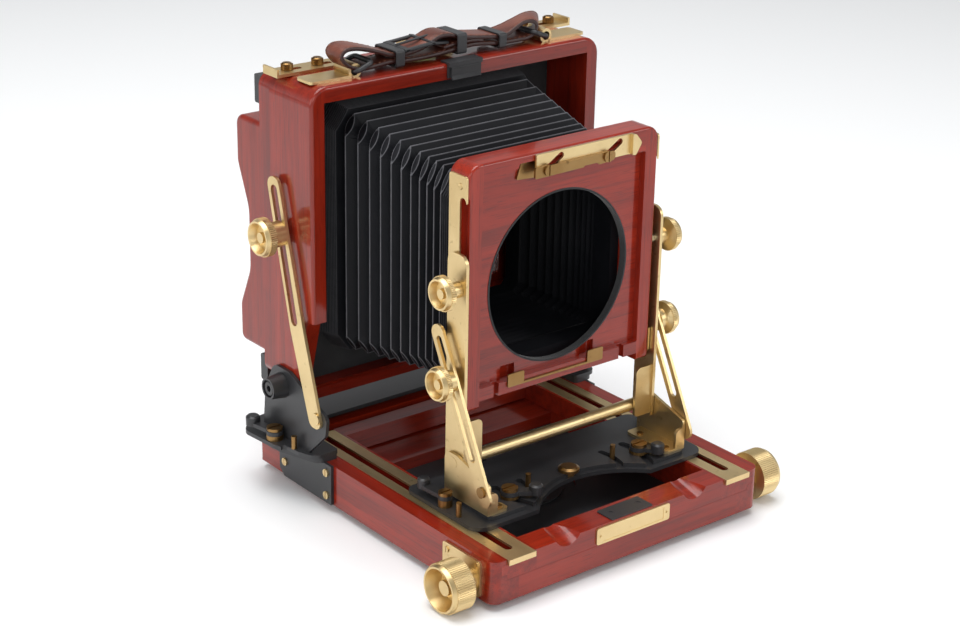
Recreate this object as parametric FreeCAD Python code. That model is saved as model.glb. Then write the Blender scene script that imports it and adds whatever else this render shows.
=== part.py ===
import FreeCAD, Part
import math
import os

# A folding wooden 4x5 field view camera, in millimetres.
# +X is the user's right when facing the lens side from behind, the lens looks along -Y, +Z is up.
# All sizes below are given with y measured from the front face of the bed; every shape is
# then moved by -SOCKET_Y so that the tripod socket is the origin.

V = FreeCAD.Vector

# ---------------------------------------------------------------- driving dimensions
SOCKET_Y = 95.0          # tripod socket behind the bed front
FIT = 0.05               # radial clearance of a running shaft
SLIDE_GAP = 0.10         # clearance of a wooden or brass slideway
MOVE_GAP = 0.30          # clearance between loosely moving pieces

# bed
BED_W = 166.0
BED_L = 188.0
BED_H = 21.1
BED_CORNER = 5.0
LEDGE_Z = 10.9           # top of the ledges that carry the focusing slide
FLOOR_Z = 3.2            # thickness of the floor boards
CROSS_L = 10.0           # front cross member
CHANNEL_W = 150.0        # channel between the bed rails
CHANNEL_L = 163.0
GROOVE_D = 3.2           # tongue groove depth
GROOVE_Z0 = 13.5
GROOVE_Z1 = 18.8
BUSH_R = 9.0
THREAD_R = 3.97          # minor radius of the 3/8 in thread
SOCKET_DEPTH = 9.0
TURN_R = 29.0            # round opening in the bed floor
TURN_Y = 84.0
REAR_BOARD_Y = 127.0     # raised board at the back of the bed floor
REAR_BOARD_Z = 10.0

# focusing pinion
PINION_Y = 14.5
PINION_Z = 8.3
SHAFT_R = 2.5
PINION_R = 3.0
FOCUS_KNOB_R = 12.0
FOCUS_KNOB_L = 13.5
BEARING_T = 1.2

# focusing slide
SLIDE_L = 158.0
SLIDE_BAR = 14.0         # front bar depth
SLIDE_RAIL_W = 17.0
TONGUE_D = 3.0
RAIL_IN = 59.3           # inner edge of a brass rail plate
RAIL_T = 1.1
RAIL_LIP = 2.7
SLOT_X = 67.5
SLOT_W = 4.2
SLOT_Y0 = 7.0
SLOT_Y1 = 154.0

# front base and swing plate
BASE_HALF = 71.5
BASE_Y0 = 26.0
BASE_Y1 = 81.0
PLATE_T = 2.0
SWING_PIVOT_Y = 46.0
CUT_R = 46.0             # round cut-out in the front edge of the plates
CUT_Y = -4.0
INNER_LOCK = (40.5, 41.0)
INNER_PIN = (26.5, 44.5)
OUTER_LOCK = (67.5, 55.0)
OUTER_PIN = (69.3, 42.5)
FRONT_SWING = 15.0

# front standard
FOLD_Y = 57.5            # fold axis of the uprights
FOLD_Z = 42.3
BAR_R = 3.0
FLANGE_T = 1.6
UPRIGHT_IN = 58.0        # inner face of an upright
UPRIGHT_W = 13.6
UPRIGHT_TOP = 144.4
BRACKET_Y0 = 31.0
BRACKET_Y1 = 63.5
BRACKET_Z1 = 47.0
BRACE_Y = 33.5
BRACE_Z = 37.2
BRACE_LEN = 79.0
STUD_Y = 57.5            # clamp stud of the brace on the upright
STUD_Z = 84.0
RISE_Z = 127.7
KNOB_R = 8.3

# lens frame
LF_W = 113.2
LF_Y = 54.8
LF_T = 13.2
LF_Z0 = 67.1
LF_Z1 = 184.8
BOARD_W = 96.0
BOARD_H = 99.0
BOARD_Z = 121.2          # lens axis height
BOARD_GAP = 0.7
RECESS_D = 3.4
FLOOR_T = 3.4            # wood behind the lens board
LEDGE = 77.0             # ledge the lens board stands on
CLIP_X = (-32.4, 16.3)   # left ends of the two lower clips
CLIP_W = 9.7
HOLE_R = 42.2
RING_R = 46.0

# rear base
WING_Y0 = 129.0
WING_Y1 = 187.0
REAR_PIVOT_Y = 150.0     # rear swing pivot
REAR_Z = 23.6            # underside of the rear swing plate
REAR_T = 2.0
REAR_HALF = 91.0
TILT_Y = 158.0           # tilt axis of the body
TILT_Z = 53.0
ARM_Y = 126.0            # pivot of the rear tilt arms
ARM_Z = 47.0
REAR_STUD_Y = 154.0
REAR_STUD_Z = 132.8

# body
BODY_W = 173.8
BODY_Y0 = 133.0
BODY_Y1 = 167.5
BODY_Z1 = 206.7
BODY_WALL = 7.5
BODY_CORNER = 9.0
FRAME_T = 4.0            # black partition that carries the bellows
BACK_T = 10.0
BACK_Z0 = 52.0
GG_T = 26.0              # spring back depth
GG_Z0 = 61.0
GG_Z1 = 178.5
GLASS_Z0 = 70.0
GLASS_Z1 = 172.0
GLASS_W = 128.0
GG_W = 166.0

# bellows
BEL_FRONT = 98.0
BEL_REAR_W = 126.0
BEL_REAR_H = 127.0
BEL_WALL = 2.0


# ---------------------------------------------------------------- shape helpers
def box(x0, x1, y0, y1, z0, z1):
    return Part.makeBox(x1 - x0, y1 - y0, z1 - z0, V(x0, y0, z0))


def cyl(r, length, at, axis):
    return Part.makeCylinder(r, length, V(*at), V(*axis))


def fuse(*shapes):
    out = shapes[0]
    for shape in shapes[1:]:
        out = out.fuse(shape)
    return out.removeSplitter()


def cut(shape, *tools):
    for tool in tools:
        shape = shape.cut(tool)
    return shape


def soften(shape, radius, axis, value):
    """Round every edge that lies in the plane where coordinate axis equals value."""
    edges = []
    for edge in shape.Edges:
        low = (edge.BoundBox.XMin, edge.BoundBox.YMin, edge.BoundBox.ZMin)[axis]
        high = (edge.BoundBox.XMax, edge.BoundBox.YMax, edge.BoundBox.ZMax)[axis]
        if abs(low - value) < 1e-3 and abs(high - value) < 1e-3:
            edges.append(edge)
    return shape.makeFillet(radius, edges)


def fluted(r, length, at, teeth, depth=0.3):
    """A finely fluted cylinder standing along +Z."""
    points = []
    for i in range(teeth * 2):
        a = math.pi * i / teeth
        rr = r if i % 2 == 0 else r - depth
        points.append(V(at[0] + rr * math.cos(a), at[1] + rr * math.sin(a), at[2]))
    return Part.Face(Part.makePolygon(points + [points[0]])).extrude(V(0, 0, length))


def outline(points, place):
    """A closed face from (a, b, corner radius) points, placed in space by place(a, b)."""
    count = len(points)
    edges = []
    ends = []
    for i in range(count):
        a, b, r = points[i]
        pa, pb, _ = points[i - 1]
        na, nb, _ = points[(i + 1) % count]
        if r <= 0:
            ends.append(((a, b), (a, b)))
            continue
        d0 = math.hypot(pa - a, pb - b)
        d1 = math.hypot(na - a, nb - b)
        u0 = ((pa - a) / d0, (pb - b) / d0)
        u1 = ((na - a) / d1, (nb - b) / d1)
        half = math.acos(max(-1.0, min(1.0, u0[0] * u1[0] + u0[1] * u1[1]))) / 2
        t = r / math.tan(half)
        start = (a + u0[0] * t, b + u0[1] * t)
        end = (a + u1[0] * t, b + u1[1] * t)
        reach = r / math.sin(half)
        mid_u = (u0[0] + u1[0], u0[1] + u1[1])
        size = math.hypot(*mid_u)
        mid = (a + mid_u[0] / size * (reach - r), b + mid_u[1] / size * (reach - r))
        edges.append(Part.Arc(V(*place(*start)), V(*place(*mid)), V(*place(*end))).toShape())
        ends.append((start, end))
    for i in range(count):
        p = ends[i][1]
        q = ends[(i + 1) % count][0]
        if math.hypot(p[0] - q[0], p[1] - q[1]) > 1e-6:
            edges.append(Part.makeLine(V(*place(*p)), V(*place(*q))))
    return Part.Face(Part.Wire(Part.__sortEdges__(edges)))


def plate_z(points, z0, z1):
    return outline(points, lambda a, b: (a, b, z0)).extrude(V(0, 0, z1 - z0))


def plate_y(points, y0, y1):
    return outline(points, lambda a, b: (a, y0, b)).extrude(V(0, y1 - y0, 0))


def plate_x(points, x0, x1):
    return outline(points, lambda a, b: (x0, a, b)).extrude(V(x1 - x0, 0, 0))


def rect(a0, a1, b0, b1, r=0.0):
    return [(a0, b0, r), (a1, b0, r), (a1, b1, r), (a0, b1, r)]


def strip(p, q, width):
    """A slot outline with round ends from p to q, as rounded corner points."""
    dx = q[0] - p[0]
    dy = q[1] - p[1]
    size = math.hypot(dx, dy)
    ux, uy = dx / size, dy / size
    h = width / 2
    r = h * 0.999
    out = []
    for end, along, side in ((p, -1, -1), (q, 1, -1), (q, 1, 1), (p, -1, 1)):
        out.append((end[0] + along * ux * h - side * uy * h, end[1] + along * uy * h + side * ux * h, r))
    return out


def mirror(shape):
    return shape.mirror(V(0, 0, 0), V(1, 0, 0))


def pair(shape):
    return Part.makeCompound([shape, mirror(shape)])


def group(shapes):
    """Several separate solids in one node."""
    solids = []
    for shape in shapes:
        solids += shape.Solids
    return Part.makeCompound(solids)


def arc_slot(centre, radius, mid_deg, half_deg, width, z0, z1):
    """A slot bent about a centre in the XY plane."""
    outer = cyl(radius + width / 2, z1 - z0, (centre[0], centre[1], z0), (0, 0, 1))
    inner = cyl(radius - width / 2, z1 - z0, (centre[0], centre[1], z0), (0, 0, 1))
    ring = outer.cut(inner)
    far = radius * 3
    wedge_points = [(centre[0], centre[1], 0)]
    steps = 4
    for i in range(steps + 1):
        a = math.radians(mid_deg - half_deg + 2 * half_deg * i / steps)
        wedge_points.append((centre[0] + far * math.cos(a), centre[1] + far * math.sin(a), 0))
    slot = ring.common(plate_z(wedge_points, z0, z1))
    for sign in (-1, 1):
        a = math.radians(mid_deg + sign * half_deg)
        end = (centre[0] + radius * math.cos(a), centre[1] + radius * math.sin(a), z0)
        slot = slot.fuse(cyl(width / 2, z1 - z0, end, (0, 0, 1)))
    return slot.removeSplitter()


def screw(at, axis, r, head):
    """A cheese head screw with a slot; at is the seat of the head."""
    a = V(*axis)
    body = Part.makeCylinder(r, head, V(*at), a)
    body = body.fuse(Part.makeCylinder(r * 0.45, 3.0, V(*at) - a * 3.0, a))
    side = V(0, 0, 1) if abs(a.z) < 0.5 else V(1, 0, 0)
    cross = a.cross(side)
    width = r * 0.14
    base = V(*at) + a * (head * 0.55)
    corners = [base + side * r * 1.2 + cross * width, base - side * r * 1.2 + cross * width,
               base - side * r * 1.2 - cross * width, base + side * r * 1.2 - cross * width]
    groove = Part.Face(Part.makePolygon(corners + [corners[0]])).extrude(a * head)
    return body.cut(groove)


def knurled(r, length, at, axis_x, teeth, depth=0.3):
    """A finely fluted cylinder along X from at, towards axis_x (+1 or -1)."""
    points = []
    for i in range(teeth * 2):
        a = math.pi * i / teeth
        rr = r if i % 2 == 0 else r - depth
        points.append(V(at[0], at[1] + rr * math.cos(a), at[2] + rr * math.sin(a)))
    face = Part.Face(Part.makePolygon(points + [points[0]]))
    return face.extrude(V(axis_x * length, 0, 0))


def cup_knob(r, length, at, side, teeth, stem_r, stem_len, collar_r, bore_r=0.0):
    """A cup-shaped clamp knob. at is the inner end of the collar, side is the outward X sign."""
    ax = (side, 0, 0)
    collar = cyl(collar_r, stem_len, at, ax)
    start = (at[0] + side * stem_len, at[1], at[2])
    shoulder = Part.makeCone(collar_r, r - 0.5, 1.5, V(*start), V(*ax))
    k0 = (start[0] + side * 1.5, at[1], at[2])
    grip = knurled(r, length - 3.5, k0, side, teeth)
    k1 = (k0[0] + side * (length - 3.5), at[1], at[2])
    rim = Part.makeCone(r - 0.45, r - 1.1, 2.0, V(*k1), V(*ax))
    body = fuse(collar, shoulder, grip, rim)
    end = (k1[0] + side * 2.0, at[1], at[2])
    deep = length * 0.55
    cup = Part.makeCone(r - 2.0, r * 0.62, deep, V(*end), V(-side, 0, 0))
    body = body.cut(cup)
    hub = cyl(stem_r, deep * 0.6, (end[0] - side * deep, at[1], at[2]), ax)
    body = body.fuse(hub)
    if bore_r > 0:
        body = body.cut(cyl(bore_r, stem_len + length, at, ax))
    return body.removeSplitter()


def lever(hub, tip, z0, thick, hub_r, bore_r, knob_r):
    """A flat lock lever with an eye at hub and a small button at tip."""
    arm = plate_z(strip(hub, tip, 5.0), z0, z0 + thick)
    eye = cyl(hub_r, thick, (hub[0], hub[1], z0), (0, 0, 1))
    button = cyl(knob_r, thick + 2.2, (tip[0], tip[1], z0), (0, 0, 1))
    dome = Part.makeCone(knob_r, knob_r - 1.0, 0.8, V(tip[0], tip[1], z0 + thick + 2.2), V(0, 0, 1))
    body = fuse(arm, eye, button, dome)
    return body.cut(cyl(bore_r, thick + 2, (hub[0], hub[1], z0 - 1), (0, 0, 1)))


# ---------------------------------------------------------------- bed
def bed_frame():
    half = BED_W / 2
    corner = BED_CORNER
    body = plate_z([(-half, 0, corner), (half, 0, corner), (half, BED_L, 2), (-half, BED_L, 2)], 0, BED_H)
    ch = CHANNEL_W / 2
    channel = box(-ch, ch, -1, CHANNEL_L, LEDGE_Z, BED_H + 1)
    grooves = box(-ch - GROOVE_D, ch + GROOVE_D, -1, CHANNEL_L, GROOVE_Z0, GROOVE_Z1)
    inner = ch - SLIDE_RAIL_W
    pocket = box(-inner, inner, CROSS_L, REAR_BOARD_Y, FLOOR_Z, BED_H + 1)
    rear = box(-inner, inner, REAR_BOARD_Y - 1, CHANNEL_L, REAR_BOARD_Z, BED_H + 1)
    shaft = cyl(SHAFT_R + MOVE_GAP, BED_W + 2, (-half - 1, PINION_Y, PINION_Z), (1, 0, 0))
    wells = pair(box(SLOT_X - 4, SLOT_X + 4.5, PINION_Y - 4.5, PINION_Y + 4.5,
                     PINION_Z - PINION_R - 1, LEDGE_Z + 1))
    front = box(-inner, inner, CROSS_L, PINION_Y + 4, PINION_Z - SHAFT_R - 1, LEDGE_Z + 1)
    opening = cyl(TURN_R, FLOOR_Z + 2, (0, TURN_Y, -1), (0, 0, 1))
    return cut(body, channel, grooves, pocket, rear, shaft, wells, front, opening)


def bed_plate():
    """Black sheet on the bed floor, with the round opening over the tripod plate."""
    inner = CHANNEL_W / 2 - SLIDE_RAIL_W - 0.2
    sheet = plate_z(rect(-inner, inner, PINION_Y + 4.4, REAR_BOARD_Y - 0.2, 1.0), FLOOR_Z, FLOOR_Z + 0.8)
    return sheet.cut(cyl(TURN_R, 4, (0, TURN_Y, FLOOR_Z - 1), (0, 0, 1)))


def tripod_socket():
    """Round metal plate let into the bed floor, with the threaded bush."""
    plate = cyl(TURN_R - 0.1, 1.4, (0, TURN_Y, 0), (0, 0, 1))
    step = cyl(TURN_R - 6.0, 0.9, (0, TURN_Y, 1.4), (0, 0, 1)).cut(cyl(TURN_R - 7.5, 2, (0, TURN_Y, 1.2), (0, 0, 1)))
    bush = cyl(BUSH_R, SOCKET_DEPTH + 1.2, (0, SOCKET_Y, 0), (0, 0, 1))
    body = fuse(plate, step, bush)
    return body.cut(cyl(THREAD_R, SOCKET_DEPTH, (0, SOCKET_Y, -0.01), (0, 0, 1)))


SIDE_PLATE_Y0 = 123.0
SIDE_PLATE_Y1 = 168.0
SIDE_PLATE_T = 1.6


def side_plates():
    """Black plates screwed to the bed sides, bent over the rails into the fixed wings."""
    x0 = BED_W / 2
    points = [(SIDE_PLATE_Y0, 0.3, 0.5), (SIDE_PLATE_Y1 - 4, 0.3, 1.5), (SIDE_PLATE_Y1, 4, 1.5),
              (SIDE_PLATE_Y1, BED_H, 0), (SIDE_PLATE_Y0, BED_H, 0)]
    wall = plate_x(points, x0, x0 + SIDE_PLATE_T)
    wing = plate_z([(76.0, WING_Y0, 2), (87.5, WING_Y0, 5), (95.0, WING_Y0 + 23, 10), (96.5, WING_Y1 - 13, 5),
                    (91, WING_Y1 - 5, 4), (76.0, WING_Y1 - 3, 2)], BED_H, REAR_Z - FIT)
    bar = box(-77, 77, 172, WING_Y1 - 3, BED_H, REAR_Z - FIT)
    return fuse(bar, wall, wing, mirror(wall), mirror(wing))


def bearing_plates():
    x0 = BED_W / 2
    points = rect(PINION_Y - 6.5, PINION_Y + 20.5, 1.2, 19.0, 1.5)
    plate = plate_x(points, x0, x0 + BEARING_T)
    boss = cyl(5.4, 2.2, (x0 + BEARING_T, PINION_Y, PINION_Z), (1, 0, 0))
    body = fuse(plate, boss)
    bore = cyl(SHAFT_R + FIT, 5, (x0 - 1, PINION_Y, PINION_Z), (1, 0, 0))
    return pair(body.cut(bore))


def bed_screws():
    shapes = []
    for side in (-1, 1):
        x = side * (BED_W / 2 + SIDE_PLATE_T)
        for y, z in ((SIDE_PLATE_Y0 + 4, 16.5), (SIDE_PLATE_Y0 + 4, 4.5), (SIDE_PLATE_Y1 - 5, 8.5)):
            shapes.append(screw((x, y, z), (side, 0, 0), 2.0, 0.8))
        x = side * (BED_W / 2 + BEARING_T)
        for y, z in ((PINION_Y + 17.5, 15.6), (PINION_Y - 4.6, 17.0), (PINION_Y + 17.5, 4.4)):
            shapes.append(screw((x, y, z), (side, 0, 0), 1.5, 0.6))
    return group(shapes)


def focus_shaft():
    reach = BED_W / 2 + BEARING_T + 5.0
    shaft = cyl(SHAFT_R, 2 * reach, (-reach, PINION_Y, PINION_Z), (1, 0, 0))
    for side in (-1, 1):
        x = side * SLOT_X - side * 2.7
        gear = knurled(PINION_R, 6.2, (x, PINION_Y, PINION_Z), side, 14)
        shaft = shaft.fuse(gear)
    return shaft.removeSplitter()


FOCUS_X = BED_W / 2 + BEARING_T + 2.3


def focus_knob(side):
    at = (side * FOCUS_X, PINION_Y, PINION_Z)
    body = cup_knob(FOCUS_KNOB_R, FOCUS_KNOB_L, at, side, 76, 3.6, 2.2, 6.4)
    hole = cyl(SHAFT_R, 4.0, (side * (FOCUS_X - 0.5), PINION_Y, PINION_Z), (side, 0, 0))
    return body.cut(hole)


def focus_lock_ring():
    """A milled ring on the right bearing boss that clamps the focus."""
    x0 = BED_W / 2 + BEARING_T + 0.1
    body = knurled(7.8, 1.9, (x0, PINION_Y, PINION_Z), 1, 36)
    tab = plate_x([(PINION_Y - 2.4, PINION_Z, 0), (PINION_Y + 2.4, PINION_Z, 0),
                   (PINION_Y + 1.6, PINION_Z - 8.4, 1.2), (PINION_Y - 1.6, PINION_Z - 8.4, 1.2)], x0, x0 + 1.9)
    body = fuse(body, tab)
    return body.cut(cyl(5.4 + FIT, 4, (x0 - 1, PINION_Y, PINION_Z), (1, 0, 0)))


# ---------------------------------------------------------------- focusing slide
SLIDE_Z0 = LEDGE_Z + SLIDE_GAP
SLIDE_Z1 = BED_H
RACK_Z0 = PINION_Z + PINION_R + 0.15
RACK_Z1 = RACK_Z0 + 2.0


def rack_block(grow):
    return box(SLOT_X - 3 - grow, SLOT_X + 3.5 + grow, 6 - grow, 150 + grow, SLIDE_Z0 - 1, RACK_Z1 + grow)


def slide_frame():
    half = CHANNEL_W / 2 - SLIDE_GAP
    body = box(-half, half, 0, SLIDE_L, SLIDE_Z0, SLIDE_Z1)
    tongue_half = CHANNEL_W / 2 + GROOVE_D - SLIDE_GAP
    tongue = box(-tongue_half, tongue_half, 0, SLIDE_L, GROOVE_Z0 + SLIDE_GAP, GROOVE_Z1 - SLIDE_GAP)
    inner = CHANNEL_W / 2 - SLIDE_RAIL_W
    window = box(-inner, inner, SLIDE_BAR, SLIDE_L - 10, SLIDE_Z0 - 1, SLIDE_Z1 + 1)
    body = fuse(body, tongue)
    seat = pair(box(RAIL_IN, half + 1, -1, SLIDE_L + 1, SLIDE_Z1 - RAIL_T, SLIDE_Z1 + 1))
    lip = pair(box(RAIL_IN, half + 1, -1, 0.01, SLIDE_Z1 - RAIL_LIP, SLIDE_Z1))
    groove = pair(box(SLOT_X - 3.6, SLOT_X + 3.6, SLOT_Y0 - 2, SLOT_Y1 + 2, RACK_Z1 + 1.2, SLIDE_Z1))
    scoops = []
    for x in (-39.5, 39.5):
        scoops.append(Part.makeCylinder(8.5, 24.0, V(x, -4.0, SLIDE_Z1 + 3.6), V(0, 1, 0.26)))
    body = cut(body, window, seat, lip, groove, pair(rack_block(0.0)), *scoops)
    under = cyl(SHAFT_R + 1.0, CHANNEL_W, (-CHANNEL_W / 2, PINION_Y, PINION_Z), (1, 0, 0))
    return cut(body, under)


def rail_plates():
    half = CHANNEL_W / 2 - SLIDE_GAP - 0.1
    top = plate_z([(RAIL_IN, -1.2, 1.5), (half, -1.2, 0), (half, SLIDE_L - 1, 1), (RAIL_IN, SLIDE_L - 1, 1)],
                  SLIDE_Z1 - RAIL_T, SLIDE_Z1)
    lip = box(RAIL_IN, half, -1.2, 0, SLIDE_Z1 - RAIL_LIP, SLIDE_Z1)
    slot = plate_z(strip((SLOT_X, SLOT_Y0 + SLOT_W / 2), (SLOT_X, SLOT_Y1 - SLOT_W / 2), SLOT_W),
                   SLIDE_Z1 - RAIL_T - 1, SLIDE_Z1 + 1)
    return pair(fuse(top, lip).cut(slot))


def racks():
    pitch = 1.65
    points = [(6, RACK_Z1), (6, RACK_Z0)]
    y = 6.6
    while y < 148.5:
        points += [(y, RACK_Z0), (y + pitch * 0.3, RACK_Z0 + 0.9), (y + pitch * 0.7, RACK_Z0 + 0.9)]
        y += pitch
    points += [(150, RACK_Z0), (150, RACK_Z1)]
    wire = [V(SLOT_X - 3, a, b) for a, b in points]
    face = Part.Face(Part.makePolygon(wire + [wire[0]]))
    return pair(face.extrude(V(6.5, 0, 0)))


def rail_screws():
    shapes = []
    for side in (-1, 1):
        for y in (16, 62, 108, 150):
            at = (side * (RAIL_IN + 2.9), y, SLIDE_Z1 - 0.35)
            head = Part.makeCylinder(1.5, 0.35, V(*at))
            stem = Part.makeCylinder(0.7, 3.5, V(at[0], at[1], at[2] - 3.5))
            shapes.append(head.fuse(stem))
    return group(shapes)


def name_plate():
    plate = plate_y(rect(-22.7, 22.7, SLIDE_Z0 + 0.7, SLIDE_Z1 - 1.0, 1.2), -0.8, 0)
    for x in (-20.6, 20.6):
        plate = plate.cut(cyl(0.6, 0.4, (x, -0.81, (SLIDE_Z0 + SLIDE_Z1) / 2), (0, 1, 0)))
    inset = plate_y(rect(-19.0, 19.0, SLIDE_Z0 + 1.8, SLIDE_Z1 - 2.1, 0.6), -0.81, -0.6)
    return plate.cut(inset)


def catch_plate():
    plate = plate_z([(-12.8, 0.4, 0.6), (12.8, 0.4, 0.6), (12.8, 11.2, 0.8), (-12.8, 11.2, 0.8)],
                    SLIDE_Z1, SLIDE_Z1 + 0.6)
    dimples = pair(cyl(1.3, 2, (8.5, 6.0, SLIDE_Z1 + 0.35), (0, 0, 1)))
    return plate.cut(dimples)


# ---------------------------------------------------------------- front base
BASE_Z0 = BED_H + SLIDE_GAP
BASE_Z1 = BASE_Z0 + PLATE_T
SWING_Z0 = BASE_Z1 + FIT
SWING_Z1 = SWING_Z0 + PLATE_T
LEVER_Z = SWING_Z1 + 1.6


def cut_disc(extra, z0, z1):
    return cyl(CUT_R + extra, z1 - z0, (0, CUT_Y, z0), (0, 0, 1))


def base_plate():
    body = plate_z([(-BASE_HALF, BASE_Y0, 8), (BASE_HALF, BASE_Y0, 8), (BASE_HALF, BASE_Y1, 5),
                    (-BASE_HALF, BASE_Y1, 5)], BASE_Z0, BASE_Z1)
    body = cut(body, cut_disc(0, BASE_Z0 - 1, BASE_Z1 + 1))
    window = plate_z(rect(-34, 34, 58, 74, 4), BASE_Z0 - 1, BASE_Z1 + 1)
    return body.cut(window)


def swing_plate():
    points = [(-60.5, 29.5, 3), (60.5, 29.5, 3), (60.5, 67.0, 6), (30, 72, 6), (-30, 72, 6), (-60.5, 67.0, 6)]
    body = plate_z(points, SWING_Z0, SWING_Z1)
    z0 = SWING_Z0 - 1
    z1 = SWING_Z1 + 1
    body = cut(body, cut_disc(2.0, z0, z1), cyl(3.0 + FIT, 4, (0, SWING_PIVOT_Y, z0), (0, 0, 1)))
    for point, width in ((INNER_LOCK, 4.6), (INNER_PIN, 3.4)):
        radius = math.hypot(point[0], point[1] - SWING_PIVOT_Y)
        mid = math.degrees(math.atan2(point[1] - SWING_PIVOT_Y, point[0]))
        slot = arc_slot((0, SWING_PIVOT_Y), radius, mid, FRONT_SWING + 0.7, width, z0, z1)
        body = cut(body, slot, mirror(slot))
    return body


def swing_button():
    z = BASE_Z1
    stem = cyl(3.0, SWING_Z1 - z + 0.1, (0, SWING_PIVOT_Y, z), (0, 0, 1))
    head = cyl(5.2, 1.4, (0, SWING_PIVOT_Y, SWING_Z1 + 0.1), (0, 0, 1))
    dome = Part.makeCone(5.2, 3.8, 0.8, V(0, SWING_PIVOT_Y, SWING_Z1 + 1.5), V(0, 0, 1))
    return fuse(stem, head, dome)


LOCK_STEM = 1.8


def lock_posts():
    """Pivot button, clamp screws with spacers and stop pins standing on the front base."""
    shapes = [swing_button()]
    for side in (-1, 1):
        x, y = side * INNER_LOCK[0], INNER_LOCK[1]
        stem = cyl(LOCK_STEM, LEVER_Z + 2.0 - BASE_Z1, (x, y, BASE_Z1), (0, 0, 1))
        washer = cyl(4.6, LEVER_Z - SWING_Z1 - 0.2, (x, y, SWING_Z1 + 0.1), (0, 0, 1))
        shapes.append(fuse(stem, washer).fuse(screw((x, y, LEVER_Z + 2.05), (0, 0, 1), 3.9, 1.5)))
        x, y = side * OUTER_LOCK[0], OUTER_LOCK[1]
        z0 = BASE_Z1
        spacer = cyl(3.4, LEVER_Z - 0.1 - z0, (x, y, z0), (0, 0, 1))
        stem = cyl(LOCK_STEM, LEVER_Z + 2.0 - z0, (x, y, z0), (0, 0, 1))
        head = screw((x, y, LEVER_Z + 2.05), (0, 0, 1), 3.3, 1.5)
        shapes.append(fuse(spacer, stem).fuse(head))
        for x, y, top in ((side * INNER_PIN[0], INNER_PIN[1], SWING_Z1 + 6.5),
                          (side * OUTER_PIN[0], OUTER_PIN[1], BASE_Z1 + 7.0)):
            shapes.append(cyl(1.3, top - BASE_Z1, (x, y, BASE_Z1), (0, 0, 1)))
    return group(shapes)


def front_lever_outer(side):
    hub = (side * OUTER_LOCK[0], OUTER_LOCK[1])
    tip = (side * 68.3, 70.5)
    return lever(hub, tip, LEVER_Z, 2.0, 3.4, LOCK_STEM + FIT, 3.0)


def front_lever_inner(side):
    hub = (side * INNER_LOCK[0], INNER_LOCK[1])
    tip = (-30.5, 34.0) if side < 0 else (45.5, 33.0)
    return lever(hub, tip, LEVER_Z, 2.0, 4.4, LOCK_STEM + FIT, 3.3)


# ---------------------------------------------------------------- front standard
BRACKET_X0 = UPRIGHT_IN + FLANGE_T + 0.25
BRACKET_X1 = BRACKET_X0 + FLANGE_T
BRACE_X0 = BRACKET_X1 + 0.3
BRACE_T = 1.5


def front_brackets():
    z0 = SWING_Z1
    side_points = [(BRACKET_Y0, z0, 0), (BRACKET_Y1, z0, 0), (BRACKET_Y1, BRACKET_Z1, 4),
                   (BRACKET_Y1 - 9, BRACKET_Z1, 6), (BRACKET_Y0, 40.2, 2)]
    wall = plate_x(side_points, BRACKET_X0, BRACKET_X1)
    foot = plate_z([(50.0, BRACKET_Y0 + 5, 2), (BRACKET_X1, BRACKET_Y0 + 5, 0), (BRACKET_X1, BRACKET_Y1 - 3, 0),
                    (50.0, BRACKET_Y1 - 3, 2)], z0, z0 + 1.4)
    toe = plate_z([(49.0, BRACKET_Y0, 2), (BRACKET_X1, BRACKET_Y0, 0), (BRACKET_X1, BRACKET_Y0 + 7, 0),
                   (49.0, BRACKET_Y0 + 7, 2)], z0, z0 + 1.4)
    front = plate_y([(55.6, z0, 0), (BRACKET_X1, z0, 0), (BRACKET_X1, 36.2, 0.5), (55.6, 36.2, 3)],
                    BRACKET_Y0, BRACKET_Y0 + FLANGE_T)
    body = fuse(wall, foot, toe, front)
    hole = cyl(BAR_R + FIT, 10, (BRACKET_X0 - 4, FOLD_Y, FOLD_Z), (1, 0, 0))
    return pair(body.cut(hole))


def bracket_screws():
    shapes = []
    for side in (-1, 1):
        for x, y in ((52.4, BRACKET_Y0 + 3.5), (53.4, BRACKET_Y1 - 9.5)):
            shapes.append(screw((side * x, y, SWING_Z1 + 1.4), (0, 0, 1), 1.7, 0.7))
        rivet = cyl(2.6, 1.0, (side * (BRACE_X0 + BRACE_T + 0.1), BRACE_Y, BRACE_Z), (side, 0, 0))
        pin = cyl(1.5, BRACE_T + 1.0, (side * (BRACE_X0 - 0.35), BRACE_Y, BRACE_Z), (side, 0, 0))
        shapes.append(fuse(rivet, pin))
    return group(shapes)


BRACE_ANGLE = math.atan2(STUD_Y - BRACE_Y, STUD_Z - BRACE_Z)


def braces():
    """Slotted brace arms pivoted at the foot of each bracket."""
    ux, uz = math.sin(BRACE_ANGLE), math.cos(BRACE_ANGLE)

    def along(d):
        return (BRACE_Y + ux * d, BRACE_Z + uz * d)

    arm = plate_x(strip(along(-3.2), along(BRACE_LEN - 4), 8.8), BRACE_X0, BRACE_X0 + BRACE_T)
    slot = plate_x(strip(along(16), along(BRACE_LEN - 7), 4.0), BRACE_X0 - 1, BRACE_X0 + BRACE_T + 1)
    eye = cyl(1.5 + FIT, 6, (BRACE_X0 - 2, BRACE_Y, BRACE_Z), (1, 0, 0))
    return pair(cut(arm, slot, eye))


STUD_R = 1.9
TILT_KNOB_X = BRACE_X0 + BRACE_T + 0.1


def tilt_knob(side):
    at = (side * TILT_KNOB_X, STUD_Y, STUD_Z)
    knob = cup_knob(KNOB_R, 5.9, at, side, 56, 2.4, 3.2, 5.2)
    return knob.cut(cyl(STUD_R + FIT, 2.5, (side * (TILT_KNOB_X - 0.5), STUD_Y, STUD_Z), (side, 0, 0)))


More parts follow.
